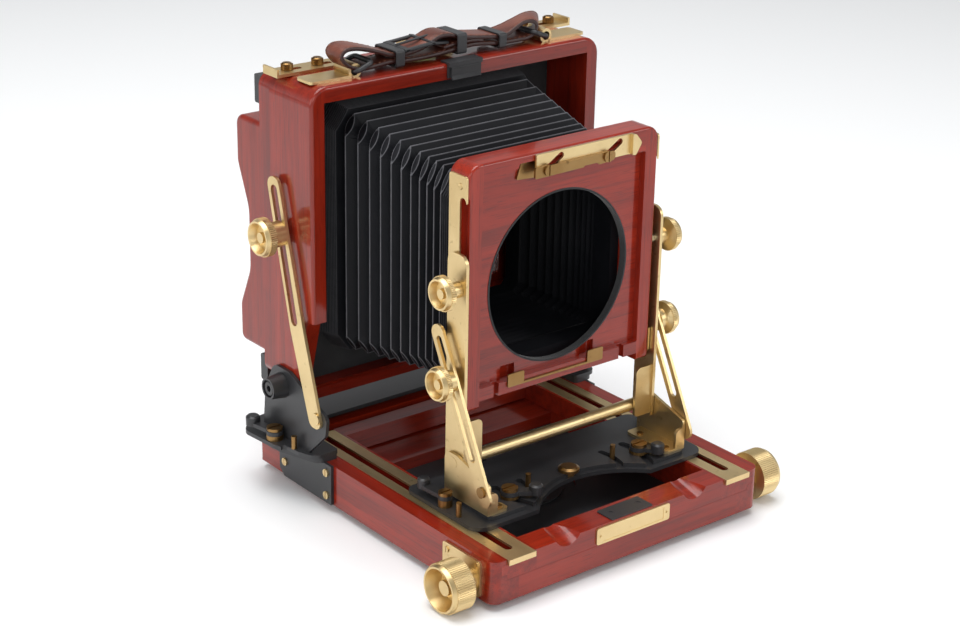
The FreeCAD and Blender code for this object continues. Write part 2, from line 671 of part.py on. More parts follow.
def tilt_studs():
    """Square-shouldered studs that ride in the slots of the braces and carry the knobs."""
    stud = cyl(STUD_R, BRACE_T + 2.0, (BRACE_X0 - 0.1, STUD_Y, STUD_Z), (1, 0, 0))
    washer = cyl(3.2, 0.2, (BRACE_X0 - 0.25, STUD_Y, STUD_Z), (1, 0, 0))
    return pair(fuse(stud, washer))


def uprights():
    x0 = UPRIGHT_IN
    x1 = x0 + FLANGE_T
    y0 = FOLD_Y - UPRIGHT_W / 2 + 1.2
    y1 = y0 + UPRIGHT_W
    wall = plate_x([(y0, FOLD_Z - 8, 4), (y1, FOLD_Z - 8, 4), (y1, UPRIGHT_TOP, 5), (y0, UPRIGHT_TOP, 5)], x0, x1)
    web_y = LF_Y - MOVE_GAP - 1.6
    web = plate_y([(48.0, FOLD_Z - 5, 2), (x1, FOLD_Z - 5, 0), (x1, LF_Z0 - 4, 0), (48.0, LF_Z0 - 4, 3)],
                  web_y, web_y + 1.5)
    body = fuse(wall, web)
    bar = cyl(BAR_R, 10, (x0 - 4, FOLD_Y, FOLD_Z), (1, 0, 0))
    stud = cyl(2.0 + FIT, 10, (x0 - 4, FOLD_Y, RISE_Z), (1, 0, 0))
    side = cut(body, bar, stud)
    reach = BRACKET_X1 + 0.1
    rod = cyl(BAR_R, 2 * reach, (-reach, FOLD_Y, FOLD_Z), (1, 0, 0))
    return fuse(rod, side, mirror(side))


RISE_KNOB_X = UPRIGHT_IN + FLANGE_T + 0.1


def rise_knob(side):
    at = (side * RISE_KNOB_X, FOLD_Y, RISE_Z)
    neck = BRACE_X0 + BRACE_T + 0.4 - RISE_KNOB_X
    knob = cup_knob(KNOB_R, 5.9, at, side, 56, 2.4, neck + 1.6, 3.7)
    return knob.cut(cyl(2.0 + FIT, 3.0, (side * (RISE_KNOB_X - 0.5), FOLD_Y, RISE_Z), (side, 0, 0)))


def rise_studs():
    """Clamp studs of the uprights, with square nuts that run in the side grooves of the lens frame."""
    x_in = LF_W / 2 - 2.6
    stud = cyl(2.0, RISE_KNOB_X + 2.2 - x_in, (x_in, FOLD_Y, RISE_Z), (1, 0, 0))
    return pair(stud)


# ---------------------------------------------------------------- lens frame
SLOT_PLATE_T = 1.0
SIDE_SLOT_Z0 = 82.0
SIDE_SLOT_Z1 = 168.0


def lens_frame():
    half = LF_W / 2
    body = plate_y([(-half, LF_Z0, 2), (half, LF_Z0, 2), (half, LF_Z1, 6.5), (-half, LF_Z1, 6.5)], LF_Y, LF_Y + LF_T)
    body = soften(body, 1.3, 1, LF_Y)
    top = LF_Z1 - 11.3
    rw = BOARD_W / 2 + BOARD_GAP
    recess = plate_y([(-rw, LEDGE, 1), (rw, LEDGE, 1), (rw, top, 1), (39.0, top, 2), (35.0, LF_Z1 - 3.5, 2),
                      (-27.9, LF_Z1 - 3.5, 1), (-28.3, LF_Z1 - 5.7, 1), (-34.6, LF_Z1 - 5.7, 2.5),
                      (-39.1, LF_Z1 - 10.4, 2.5), (-42.0, top - 0.4, 1), (-rw, top - 0.4, 1)],
                     LF_Y - 1, LF_Y + RECESS_D)
    hole = cyl(HOLE_R, LF_T + 2, (0, LF_Y - 1, BOARD_Z), (0, 1, 0))
    inner = BEL_FRONT / 2 - BEL_WALL - 1.0
    hollow = box(-inner, inner, LF_Y + RECESS_D + FLOOR_T, LF_Y + LF_T + 1, BOARD_Z - inner, BOARD_Z + inner)
    foot = box(-rw, rw, LF_Y - 1, LF_Y + LF_T + 1, 0, LEDGE - 6.2)
    pockets = []
    for x in (-40.2, 37.2):
        pockets.append(box(x, x + 3.0, LF_Y - 1, LF_Y + 2.6, LEDGE - 7, LEDGE + 1))
    for x in CLIP_X:
        pockets.append(box(x - 1.5, x + 7.0, LF_Y, LF_Y + RECESS_D + 2.2, LEDGE - 0.5, LEDGE + 6.5))
    slots = pair(box(half - 3.5, half + 1, FOLD_Y - 2.6, FOLD_Y + 2.6, SIDE_SLOT_Z0 - 2, SIDE_SLOT_Z1 + 2))
    return cut(body, recess, hole, hollow, foot, slots, *pockets)


def slot_plates():
    x0 = LF_W / 2
    points = rect(LF_Y + 0.4, LF_Y + LF_T - 0.4, LF_Z0 + 2.4, LF_Z1 - 4.5, 1.5)
    plate = plate_x(points, x0, x0 + SLOT_PLATE_T)
    slot = plate_x(strip((FOLD_Y, SIDE_SLOT_Z0), (FOLD_Y, SIDE_SLOT_Z1), 4.6), x0 - 1, x0 + 2)
    body = plate.cut(slot)
    for z in (LF_Z0 + 8, LF_Z1 - 9.5):
        body = body.cut(Part.makeCone(1.6, 0.8, 0.8, V(x0 + SLOT_PLATE_T, FOLD_Y + 2.0, z), V(-1, 0, 0)))
    return pair(body)


def light_ring():
    """Velvet lining of the round opening."""
    y0 = LF_Y + RECESS_D - 0.3
    outer = cyl(HOLE_R - 0.02, FLOOR_T + 0.3, (0, y0, BOARD_Z), (0, 1, 0))
    return outer.cut(cyl(HOLE_R - 0.9, 20, (0, y0 - 1, BOARD_Z), (0, 1, 0)))


LOCK_SCREWS = (-13.4, 22.3)
LOCK_SCREW_Z = 176.4
LOCK_Y0 = LF_Y - 1.5     # front face of the sliding lock plate
LOCK_T = 1.1


def board_clips():
    """Fixed bar above the lens board, its two screws, the two lower clips and their strip."""
    floor = LF_Y + RECESS_D
    bar_y = LOCK_Y0 - 1.3
    bar = plate_y([(-20.9, LOCK_SCREW_Z - 3.0, 0.8), (7.8, LOCK_SCREW_Z - 2.6, 0.5), (8.4, LOCK_SCREW_Z - 1.9, 0.5),
                   (16.0, LOCK_SCREW_Z - 1.9, 0.5), (17.4, LOCK_SCREW_Z - 3.0, 0.8), (27.0, LOCK_SCREW_Z - 2.4, 2),
                   (27.0, LOCK_SCREW_Z + 2.2, 2), (-20.9, LOCK_SCREW_Z + 2.2, 0.8)], bar_y, bar_y + 1.1)
    for x in LOCK_SCREWS:
        bar = bar.fuse(cyl(1.5, floor - bar_y - 0.5, (x, bar_y + 0.5, LOCK_SCREW_Z), (0, 1, 0)))
        bar = bar.fuse(screw((x, bar_y, LOCK_SCREW_Z), (0, -1, 0), 2.6, 1.0))
    strip_bar = box(CLIP_X[0] + 1, CLIP_X[1] + CLIP_W - 1, LF_Y - 0.9, LF_Y, LEDGE - 3.2, LEDGE - 2.2)
    for x in CLIP_X:
        finger = plate_y(rect(x, x + CLIP_W, LEDGE - 3.2, LEDGE + 3.3, 0.8), LF_Y - 0.9, LF_Y)
        strip_bar = strip_bar.fuse(finger)
    return group([bar, strip_bar.removeSplitter()])


def board_lock():
    """Sliding lock plate with two diagonal slots and a raised pointed end."""
    y1 = LOCK_Y0 + LOCK_T
    plate = plate_y([(-19.4, LOCK_SCREW_Z - 2.4, 1), (35.4, LOCK_SCREW_Z - 1.8, 0), (39.5, LOCK_SCREW_Z - 2.3, 1),
                     (43.1, LOCK_SCREW_Z + 3.2, 1.5), (39.3, LOCK_SCREW_Z + 7.8, 1.5), (-19.4, LOCK_SCREW_Z + 7.8, 1)],
                    LOCK_Y0, y1)
    for x in LOCK_SCREWS:
        slot = plate_y(strip((x, LOCK_SCREW_Z), (x + 8.4, LOCK_SCREW_Z + 5.2), 3.2), LOCK_Y0 - 1, y1 + 1)
        plate = plate.cut(slot)
    lip = plate_y([(37.4, LOCK_SCREW_Z - 2.0, 0), (39.5, LOCK_SCREW_Z - 2.3, 1), (43.1, LOCK_SCREW_Z + 3.2, 1.5),
                   (39.3, LOCK_SCREW_Z + 7.8, 1.5), (37.4, LOCK_SCREW_Z + 7.8, 0)], LOCK_Y0 - 1.8, LOCK_Y0)
    return fuse(plate, lip)


def lock_leaf():
    """Black leaf beside the lock plate that covers the end of the recess."""
    z = LOCK_SCREW_Z
    return plate_y([(-27.6, z - 3.4, 0.5), (-15.6, z - 4.2, 0.5), (-15.6, z + 4.6, 0.5), (-25.0, z + 4.6, 0.5)],
                   LF_Y + RECESS_D - 1.0, LF_Y + RECESS_D)


# ---------------------------------------------------------------- bellows
def frustum(y0, w0, h0, z0, y1, w1, h1, z1):
    def ring(y, w, h, z):
        return Part.makePolygon([V(-w / 2, y, z - h / 2), V(w / 2, y, z - h / 2), V(w / 2, y, z + h / 2),
                                 V(-w / 2, y, z + h / 2), V(-w / 2, y, z - h / 2)])
    return Part.makeLoft([ring(y0, w0, h0, z0), ring(y1, w1, h1, z1)], True, True)


def bellows():
    y0 = LF_Y + LF_T + 0.05
    y1 = BODY_Y1 - FRAME_T - 0.05
    zc = (BACK_Z0 + BODY_Z1) / 2 - 2.0
    outer = frustum(y0, BEL_FRONT, BEL_FRONT, BOARD_Z + 1, y1, BEL_REAR_W, BEL_REAR_H, zc)
    w = 2 * BEL_WALL
    inner = frustum(y0 - 1, BEL_FRONT - w, BEL_FRONT - w, BOARD_Z + 1, y1 + 1, BEL_REAR_W - w, BEL_REAR_H - w, zc)
    return outer.cut(inner)


# ---------------------------------------------------------------- rear base
REAR_TOP = REAR_Z + REAR_T
WALL_X0 = BODY_W / 2 + 0.3
WALL_T = 1.8
ARM_X0 = WALL_X0 + WALL_T + 0.15
ARM_T = 1.5
REAR_HUB = (93.6, 158.0)
REAR_TIP = (96.2, 173.5)
REAR_PIN = (92.3, 143.0)


def rear_plate():
    """Swing plate across the bed with a wing outside each rail."""
    bar = plate_z(rect(-76, 76, WING_Y0 + 36.5, WING_Y1 - 1, 3), REAR_Z, REAR_TOP)
    wing = plate_z([(75.6, WING_Y0, 2), (89.5, WING_Y0, 6), (98.0, WING_Y0 + 23, 12), (100.0, WING_Y1 - 12, 6),
                    (92.5, WING_Y1 - 3, 5), (74, WING_Y1, 3), (74, WING_Y0 + 35, 0), (75.6, WING_Y0 + 29, 0)],
                   REAR_Z, REAR_TOP)
    slot = arc_slot((0, REAR_PIVOT_Y), math.hypot(92.8, 22), -math.degrees(math.atan2(11, 92.8)), 5.0, 3.4,
                    REAR_Z - 1, REAR_TOP + 1)
    return fuse(bar, wing, mirror(wing)).cut(pair(slot))


def rear_brackets():
    x0 = WALL_X0
    x1 = x0 + WALL_T
    points = [(ARM_Y + 9, REAR_TOP, 0), (TILT_Y + 17, REAR_TOP, 0), (TILT_Y + 15, TILT_Z - 6, 6),
              (TILT_Y + 7, TILT_Z + 9, 6), (TILT_Y - 7, TILT_Z + 9, 6), (ARM_Y + 5, ARM_Z + 6, 4),
              (ARM_Y - 6.5, ARM_Z + 2, 4), (ARM_Y - 5, ARM_Z - 8, 3)]
    wall = plate_x(points, x0, x1)
    hole = cyl(3.5 + FIT, 10, (x0 - 4, TILT_Y, TILT_Z), (1, 0, 0))
    rest = cyl(2.0 + FIT, 10, (x0 - 4, ARM_Y, ARM_Z), (1, 0, 0))
    return pair(cut(wall, hole, rest))


def rear_posts():
    """Clamp screws, spacers and stop pins of the rear swing, standing on the swing plate."""
    shapes = []
    for side in (-1, 1):
        x, y = side * REAR_HUB[0], REAR_HUB[1]
        base = cyl(4.3, 2.6, (x, y, REAR_TOP), (0, 0, 1))
        stem = cyl(LOCK_STEM, 5.0, (x, y, REAR_TOP), (0, 0, 1))
        head = screw((x, y, REAR_TOP + 4.9), (0, 0, 1), 4.0, 1.5)
        shapes.append(fuse(base, stem).fuse(head))
        shapes.append(cyl(1.4, 6.5, (side * REAR_PIN[0], REAR_PIN[1], REAR_TOP), (0, 0, 1)))
    return group(shapes)


PIVOT_X = WALL_X0 + WALL_T + 0.1
PIVOT_L = 8.0


def body_pivots():
    """Bosses with hollow-head pivot screws that carry the body in the brackets."""
    shapes = []
    for side in (-1, 1):
        x0 = BODY_W / 2 - 4
        end = PIVOT_X + PIVOT_L
        pin = cyl(3.5, PIVOT_X - x0 + 0.1, (side * x0, TILT_Y, TILT_Z), (side, 0, 0))
        head = Part.makeCone(6.4, 5.4, PIVOT_L, V(side * PIVOT_X, TILT_Y, TILT_Z), V(side, 0, 0))
        sink = cyl(4.4, 1.6, (side * (end - 1.5), TILT_Y, TILT_Z), (side, 0, 0))
        cap = cyl(3.4, 1.1, (side * (end - 1.6), TILT_Y, TILT_Z), (side, 0, 0))
        key_points = []
        for i in range(6):
            a = math.pi / 3 * i
            key_points.append(V(side * (end - 2.6), TILT_Y + 1.8 * math.cos(a), TILT_Z + 1.8 * math.sin(a)))
        key = Part.Face(Part.makePolygon(key_points + [key_points[0]])).extrude(V(side * 4, 0, 0))
        shapes.append(cut(head, sink).fuse(cap).cut(key).fuse(pin))
    return group(shapes)


def rear_arms():
    """Kinked and slotted tilt arms outside the brackets."""
    points = [(ARM_Y - 4.5, ARM_Z - 5.5, 4), (ARM_Y + 5.5, ARM_Z - 5.5, 4), (ARM_Y + 21.0, 86, 14),
              (REAR_STUD_Y + 5.0, REAR_STUD_Z, 20), (REAR_STUD_Y + 11.4, 158.5, 4.5),
              (REAR_STUD_Y + 1.8, 160.0, 4.5), (REAR_STUD_Y - 5.5, REAR_STUD_Z, 20), (ARM_Y + 10.0, 88, 14)]
    arm = plate_x(points, ARM_X0, ARM_X0 + ARM_T)
    slope = 0.25
    p = (REAR_STUD_Y - slope * 41, REAR_STUD_Z - 41)
    q = (REAR_STUD_Y + slope * 20, REAR_STUD_Z + 20)
    slot = plate_x(strip(p, q, 5.4), ARM_X0 - 1, ARM_X0 + ARM_T + 1)
    pivot = cyl(2.0, ARM_X0 + ARM_T - WALL_X0, (WALL_X0, ARM_Y, ARM_Z), (1, 0, 0))
    head = cyl(3.0, 0.9, (ARM_X0 + ARM_T - 0.01, ARM_Y, ARM_Z), (1, 0, 0))
    return pair(fuse(cut(arm, slot), pivot, head))


REAR_KNOB_X = ARM_X0 + ARM_T + 0.1


def rear_knob(side):
    at = (side * REAR_KNOB_X, REAR_STUD_Y, REAR_STUD_Z)
    knob = cup_knob(9.4, 6.9, at, side, 60, 2.6, 6.0, 6.2)
    return knob.cut(cyl(1.4 + FIT, 4.0, (side * (REAR_KNOB_X - 0.5), REAR_STUD_Y, REAR_STUD_Z), (side, 0, 0)))


def rear_studs():
    x_in = BODY_W / 2 - 3
    return pair(cyl(1.4, REAR_KNOB_X + 3.2 - x_in, (x_in, REAR_STUD_Y, REAR_STUD_Z), (1, 0, 0)))


def rear_lever(side):
    hub = (side * REAR_HUB[0], REAR_HUB[1])
    tip = (side * REAR_TIP[0], REAR_TIP[1])
    body = lever(hub, tip, REAR_TOP + 2.7, 2.0, 4.2, LOCK_STEM + FIT, 3.6)
    return body


# ---------------------------------------------------------------- body and back
def body_shell():
    half = BODY_W / 2
    z0 = 40.0
    outer = plate_y([(-half, z0, 3), (half, z0, 3), (half, BODY_Z1, BODY_CORNER), (-half, BODY_Z1, BODY_CORNER)],
                    BODY_Y0, BODY_Y1)
    inner_half = half - BODY_WALL
    inner = plate_y([(-inner_half, z0 + 9, 0), (inner_half, z0 + 9, 0), (inner_half, BODY_Z1 - BODY_WALL, 0),
                     (-inner_half, BODY_Z1 - BODY_WALL, 0)], BODY_Y0 - 1, BODY_Y1 + 1)
    body = soften(outer, 1.6, 1, BODY_Y0).cut(inner)
    below = plate_x([(BODY_Y0 - 1, 92, 0), (BODY_Y0 + 4.5, 92, 3), (BODY_Y0 + 14, 56, 6), (BODY_Y1 - 9, 46, 3),
                     (BODY_Y1 - 9, z0 - 1, 0), (BODY_Y0 - 1, z0 - 1, 0)], -half - 1, half + 1)
    body = body.cut(below)
    holes = pair(cyl(3.5, 8, (half - 4, TILT_Y, TILT_Z), (1, 0, 0)))
    studs = pair(cyl(1.4 + FIT, 8, (half - 4, REAR_STUD_Y, REAR_STUD_Z), (1, 0, 0)))
    return cut(body, holes, studs)


def bellows_frame():
    half = BODY_W / 2 - BODY_WALL
    body = box(-half, half, BODY_Y1 - FRAME_T, BODY_Y1 - 0.4, 49.0, BODY_Z1 - BODY_WALL)
    zc = (BACK_Z0 + BODY_Z1) / 2 - 2.0
    window = box(-BEL_REAR_W / 2 + 5, BEL_REAR_W / 2 - 5, BODY_Y1 - 10, BODY_Y1 + 1, zc - BEL_REAR_H / 2 + 5,
                 zc + BEL_REAR_H / 2 - 5)
    return body.cut(window)


BACK_Y0 = BODY_Y1 + 0.1
BACK_Y1 = BACK_Y0 + BACK_T
GG_Y0 = BACK_Y1 + 0.3


def back_frame():
    half = BODY_W / 2 - 1.0
    body = plate_y(rect(-half, half, BACK_Z0, BODY_Z1 - 2.0, 6.0), BACK_Y0, BACK_Y1)
    window = box(-66, 66, BACK_Y0 - 1, BACK_Y1 + 1, 68, 186)
    return body.cut(window)


def back_hooks():
    """Black angle hooks that keep the springs of the back."""
    shapes = []
    for side in (-1, 1):
        for z0, z1 in ((189.0, 203.0), (46.5, GG_Z0 - 0.6)):
            half = BODY_W / 2 - 2.5
            outer = plate_x(rect(BACK_Y1, BACK_Y1 + 6.0, z0, z1, 1.2), side * half - 7.0 * (side > 0),
                            side * half + 7.0 * (side < 0))
            shapes.append(outer)
    return group(shapes)


def gg_frame():
    """Spring back: two scalloped rails joined by a thinner panel."""
    half = GG_W / 2
    y0 = GG_Y0
    y1 = GG_Y0 + GG_T
    waist = y1 - 9.0
    rail = plate_x([(y0, GG_Z0, 1), (y1, GG_Z0, 4), (y1, GG_Z0 + 20, 8), (waist, GG_Z0 + 40, 18),
                    (waist, GG_Z1 - 46, 18), (y1, GG_Z1 - 24, 8), (y1, GG_Z1, 5), (y0, GG_Z1, 1)],
                   half - 19, half)
    rail = soften(rail, 2.2, 0, half)
    rails = fuse(rail, mirror(rail), box(-half + 1, half - 1, y0, y0 + 8.0, GG_Z0 + 4, GG_Z1 - 4))
    gw = GLASS_W / 2
    window = box(-gw + 2, gw - 2, y0 - 1, y0 + 9, GLASS_Z0 + 2, GLASS_Z1 - 2)
    seat = box(-gw, gw, y0 + 3.0, y0 + 9, GLASS_Z0, GLASS_Z1)
    return cut(rails, window, seat)


def ground_glass():
    y0 = GG_Y0 + 3.0
    gw = GLASS_W / 2 - SLIDE_GAP
    return box(-gw, gw, y0, y0 + 2.0, GLASS_Z0 + SLIDE_GAP, GLASS_Z1 - SLIDE_GAP)


TOP = BODY_Z1


def lock_slide(side):
    """Slotted brass slide that holds the top of the back."""
    z0 = TOP + 0.05
    plate = plate_z(rect(51.0, 88.5, 157.5, 169.5, 1.5), z0, z0 + 1.4)
    for x0, x1 in ((56.0, 62.5), (73.0, 79.5)):
        plate = plate.cut(plate_z(strip((x0, 163.5), (x1, 163.5), 3.4), z0 - 1, z0 + 3))
    lip = box(87.3, 88.5, 157.5, 169.5, z0, z0 + 4.0)
    body = fuse(plate, lip)
    return body if side > 0 else mirror(body)


def lock_screws():
    shapes = []
    for side in (-1, 1):
        for x in (62.2, 79.2):
            stem = cyl(1.5, 1.7, (side * x, 163.5, TOP), (0, 0, 1))
            grip = fluted(2.9, 2.9, (side * x, 163.5, TOP + 1.6), 26)
            rim = Part.makeCone(2.6, 2.1, 0.5, V(side * x, 163.5, TOP + 4.5), V(0, 0, 1))
            slot = box(side * x - 3, side * x + 3, 163.1, 163.9, TOP + 4.2, TOP + 6)
            shapes.append(fuse(stem, grip, rim).cut(slot))
    return group(shapes)


STRAP_Y = 146.0
RING_X = 54.0


def strap_plates():
    """Brass strap plates with a raised loop for the ring."""
    plate = plate_z(rect(58.0, 82.5, STRAP_Y - 7.0, STRAP_Y + 5.5, 2.0), TOP, TOP + 1.3)
    arch = cyl(3.6, 12.0, (57.6, STRAP_Y - 6.5, TOP + 2.9), (0, 1, 0))
    arch = arch.cut(cyl(2.2, 14.0, (57.6, STRAP_Y - 7.5, TOP + 2.9), (0, 1, 0)))
    arch = arch.cut(box(40, 90, STRAP_Y - 8, STRAP_Y + 8, TOP - 3, TOP))
    body = fuse(plate.cut(cyl(2.2, 14.0, (57.6, STRAP_Y - 7.5, TOP + 2.9), (0, 1, 0))), arch)
    return pair(body)


def strap_rings():
    """Round-wire loops hinged in the strap plates, leaning inward under the strap."""
    shapes = []
    long_side, wide_side, corner = 9.5, 15.0, 2.6
    for side in (-1, 1):
        hinge = V(side * 57.6, STRAP_Y - 0.5, TOP + 2.7)
        inward = V(-side * 0.93, 0, 0.36).normalize()
        across = V(0, 1, 0)

        def at(a, b):
            return hinge + inward * a + across * b

        ends = [(0, -wide_side / 2), (long_side, -wide_side / 2), (long_side, wide_side / 2), (0, wide_side / 2)]
        edges = []
        for i, (a, b) in enumerate(ends):
            na, nb = ends[(i + 1) % 4]
            pa, pb = ends[i - 1]
            step_in = V(pa - a, pb - b, 0).normalize() * corner
            step_out = V(na - a, nb - b, 0).normalize() * corner
            middle = (step_in + step_out) * (1 - math.sqrt(0.5))
            start = at(a + step_in.x, b + step_in.y)
            stop = at(a + step_out.x, b + step_out.y)
            edges.append(Part.Arc(start, at(a + middle.x, b + middle.y), stop).toShape())
            back = V(a - na, b - nb, 0).normalize() * corner
            edges.append(Part.makeLine(stop, at(na + back.x, nb + back.y)))
        path = Part.Wire(Part.__sortEdges__(edges))
        first = path.Edges[0]
        tangent = first.tangentAt(first.FirstParameter)
        profile = Part.Wire(Part.makeCircle(1.3, first.valueAt(first.FirstParameter), tangent))
        ring = path.makePipeShell([profile], True, False)
        shapes.append(ring if ring.ShapeType == "Solid" else Part.Solid(ring.Shells[0]))
    return group(shapes)


def strap():
    """Leather carrying strap as one plain arched band between the rings."""
    outer = []
    inner = []
    steps = 14
    reach = 46.6
    for i in range(steps + 1):
        t = -1 + 2 * i / steps
        x = reach * t
        z = TOP + 6.6 + 9.0 * (1 - t * t) ** 0.8
        outer.append(V(x, STRAP_Y - 7.5, z + 1.6))
        inner.append(V(x, STRAP_Y - 7.5, z - 1.6))
    wire = outer + inner[::-1]
    face = Part.Face(Part.makePolygon(wire + [wire[0]]))
    return face.extrude(V(0, 14.0, 0))


def spirit_level():
    case = cyl(3.2, 30.0, (-15.0, 162.5, TOP + 3.2), (1, 0, 0))
    base = box(-15.0, 15.0, 158.9, 166.1, TOP, TOP + 3.2)
    body = fuse(case, base)
    return body.cut(box(-9.0, 9.0, 158.0, 167.0, TOP + 4.2, TOP + 9))


def top_catch():
    """Spring tongue under the front edge that holds the closed bed."""
    y1 = BODY_Y0 - 1.0
    points = [(y1, TOP - 1.6), (y1 - 0.9, TOP - 1.6), (y1 - 0.9, TOP - 5.6), (y1 - 2.2, TOP - 7.2),
              (y1 - 1.6, TOP - 8.0), (y1 - 0.2, TOP - 6.4), (y1, TOP - 5.0)]
    wire = [V(-7.6, a, b) for a, b in points]
    tongue = Part.Face(Part.makePolygon(wire + [wire[0]])).extrude(V(17.2, 0, 0))
    return fuse(tongue, cyl(0.5, 17.2, (-7.6, y1 - 0.5, TOP - 1.9), (1, 0, 0)))


def catch_base():
    """Fixed black seat of the spring tongue, bent over the top edge of the body."""
    front = box(-9.0, 11.0, BODY_Y0 - 0.9, BODY_Y0 - 0.05, TOP - 6.8, TOP + 0.9)
    flange = box(-9.0, 11.0, BODY_Y0 - 0.9, BODY_Y0 + 5.0, TOP + 0.05, TOP + 0.9)
    rib = box(-9.0, 11.0, BODY_Y0 - 2.1, BODY_Y0 - 0.9, TOP - 1.3, TOP + 0.9)
    return fuse(front, flange, rib)


def fastened(held, fasteners):
    """One node for a plate and the separate screws that are seated in it."""
    return group([held.cut(fasteners), fasteners])


PIECES = {
    "bed_frame": bed_frame,
    "tripod_socket": lambda: group([tripod_socket(), bed_plate()]),
    "side_plates": side_plates,
    "bearing_plates": lambda: fastened(bearing_plates(), bed_screws()),
    "focus_shaft": focus_shaft,
    "focus_knob_l": lambda: focus_knob(-1),
    "focus_knob_r": lambda: focus_knob(1),
    "focus_lock_ring": focus_lock_ring,
    "slide_frame": slide_frame,
    "rail_plates": lambda: fastened(rail_plates(), rail_screws()),
    "racks": racks,
    "name_plate": name_plate,
    "catch_plate": catch_plate,
    "base_plate": base_plate,
    "lock_posts": lock_posts,
    "front_lever_ol": lambda: front_lever_outer(-1),
    "front_lever_or": lambda: front_lever_outer(1),
    "front_lever_il": lambda: front_lever_inner(-1),
    "front_lever_ir": lambda: front_lever_inner(1),
    "swing_plate": swing_plate,
    "front_brackets": front_brackets,
    "bracket_screws": bracket_screws,
    "braces": braces,
    "tilt_studs": tilt_studs,
    "tilt_knob_l": lambda: tilt_knob(-1),
    "tilt_knob_r": lambda: tilt_knob(1),
    "uprights": uprights,
    "rise_studs": rise_studs,
    "rise_knob_l": lambda: rise_knob(-1),
    "rise_knob_r": lambda: rise_knob(1),
    "lens_frame": lens_frame,
    "slot_plates": slot_plates,
    "light_ring": light_ring,
    "board_clips": lambda: group([board_clips(), lock_leaf()]),
    "board_lock": board_lock,
    "bellows": bellows,
    "rear_plate": rear_plate,
    "rear_brackets": rear_brackets,
    "rear_posts": rear_posts,
    "rear_lever_l": lambda: rear_lever(-1),
    "rear_lever_r": lambda: rear_lever(1),
    "rear_arms": rear_arms,
    "rear_knob_l": lambda: rear_knob(-1),
    "rear_knob_r": lambda: rear_knob(1),
    "body_shell": body_shell,
    "body_pivots": lambda: group([body_pivots(), rear_studs()]),
    "bellows_frame": bellows_frame,
    "back_frame": back_frame,
    "back_hooks": back_hooks,
    "gg_frame": gg_frame,
    "ground_glass": ground_glass,
    "lock_slide_l": lambda: lock_slide(-1),
    "lock_slide_r": lambda: lock_slide(1),
    "strap_plates": strap_plates,
    "strap_rings": strap_rings,
    "strap": strap,
    "lock_screws": lock_screws,
    "spirit_level": spirit_level,
    "top_catch": top_catch,
    "catch_base": catch_base,
}

# screws and rivets are seated in the pieces they hold
SEATS = {
    bed_screws: ("bed_frame", "side_plates"),
    rail_screws: ("slide_frame",),
    bracket_screws: ("swing_plate", "front_brackets"),
}

os.makedirs("parts", exist_ok=True)
for name, make in PIECES.items():
    shape = make()
    for fasteners, held in SEATS.items():
        if name in held:
            shape = shape.cut(fasteners())
    shape.translate(V(0, -SOCKET_Y, 0))
    shape.exportStep("parts/" + name + ".step")
print(len(PIECES), "pieces written")
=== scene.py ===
import math
import bpy
import bmesh
from mathutils import Vector, Matrix


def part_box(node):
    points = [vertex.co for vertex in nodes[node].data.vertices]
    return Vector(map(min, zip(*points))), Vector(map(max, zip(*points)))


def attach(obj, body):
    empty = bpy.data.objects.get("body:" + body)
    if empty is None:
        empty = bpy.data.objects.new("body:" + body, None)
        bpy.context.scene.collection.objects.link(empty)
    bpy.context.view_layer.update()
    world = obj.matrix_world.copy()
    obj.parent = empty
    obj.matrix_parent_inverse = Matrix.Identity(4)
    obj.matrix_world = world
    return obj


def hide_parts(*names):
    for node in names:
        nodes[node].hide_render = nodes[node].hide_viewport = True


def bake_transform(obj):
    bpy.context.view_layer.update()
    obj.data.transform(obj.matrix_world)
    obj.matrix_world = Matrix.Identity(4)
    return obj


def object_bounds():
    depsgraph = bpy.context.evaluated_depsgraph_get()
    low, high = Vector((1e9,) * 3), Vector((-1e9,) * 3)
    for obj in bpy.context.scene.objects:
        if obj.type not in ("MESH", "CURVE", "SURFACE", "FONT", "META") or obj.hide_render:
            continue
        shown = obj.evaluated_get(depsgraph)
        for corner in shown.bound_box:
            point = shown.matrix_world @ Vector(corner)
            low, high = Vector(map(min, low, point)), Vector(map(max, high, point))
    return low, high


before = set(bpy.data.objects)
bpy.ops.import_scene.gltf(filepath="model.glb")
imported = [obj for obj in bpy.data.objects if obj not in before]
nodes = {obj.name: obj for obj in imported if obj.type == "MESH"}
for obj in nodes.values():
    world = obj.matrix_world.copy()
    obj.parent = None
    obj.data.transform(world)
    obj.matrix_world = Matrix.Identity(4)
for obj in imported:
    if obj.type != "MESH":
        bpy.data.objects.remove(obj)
cad_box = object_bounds()

MM = 0.001
SOCKET_Y = 95.0            # the part's origin is the tripod socket, this far behind the bed front


def at(x, y, z):
    """Millimetres measured from the bed front to metres in the row frame."""
    return Vector((x * MM, (y - SOCKET_Y) * MM, z * MM))


def lerp(a, b, t):
    return a + (b - a) * t


# ------------------------------------------------------------------ camera and light
CAM_POS = Vector((-0.60056, -0.72521, 0.46671))
CAM_YAW = math.radians(38.84)
CAM_PITCH = math.radians(-22.0)
CAM_ROLL = math.radians(1.07)
CAM_LENS = 78.71
AIM = (0, 0.0, 0.1)        # what the area lights point at
# name, place, width and height, watts
LIGHTS = [
    ("top", (-0.10, 0.15, 1.5), (1.5, 1.2), 23),
    ("left", (-1.5, 0.1, 0.7), (0.8, 1.0), 7),
    ("front", (-1.1, -1.5, 1.0), (0.9, 0.7), 6.5),
    ("right", (1.1, -1.3, 0.9), (0.6, 0.8), 6),
]
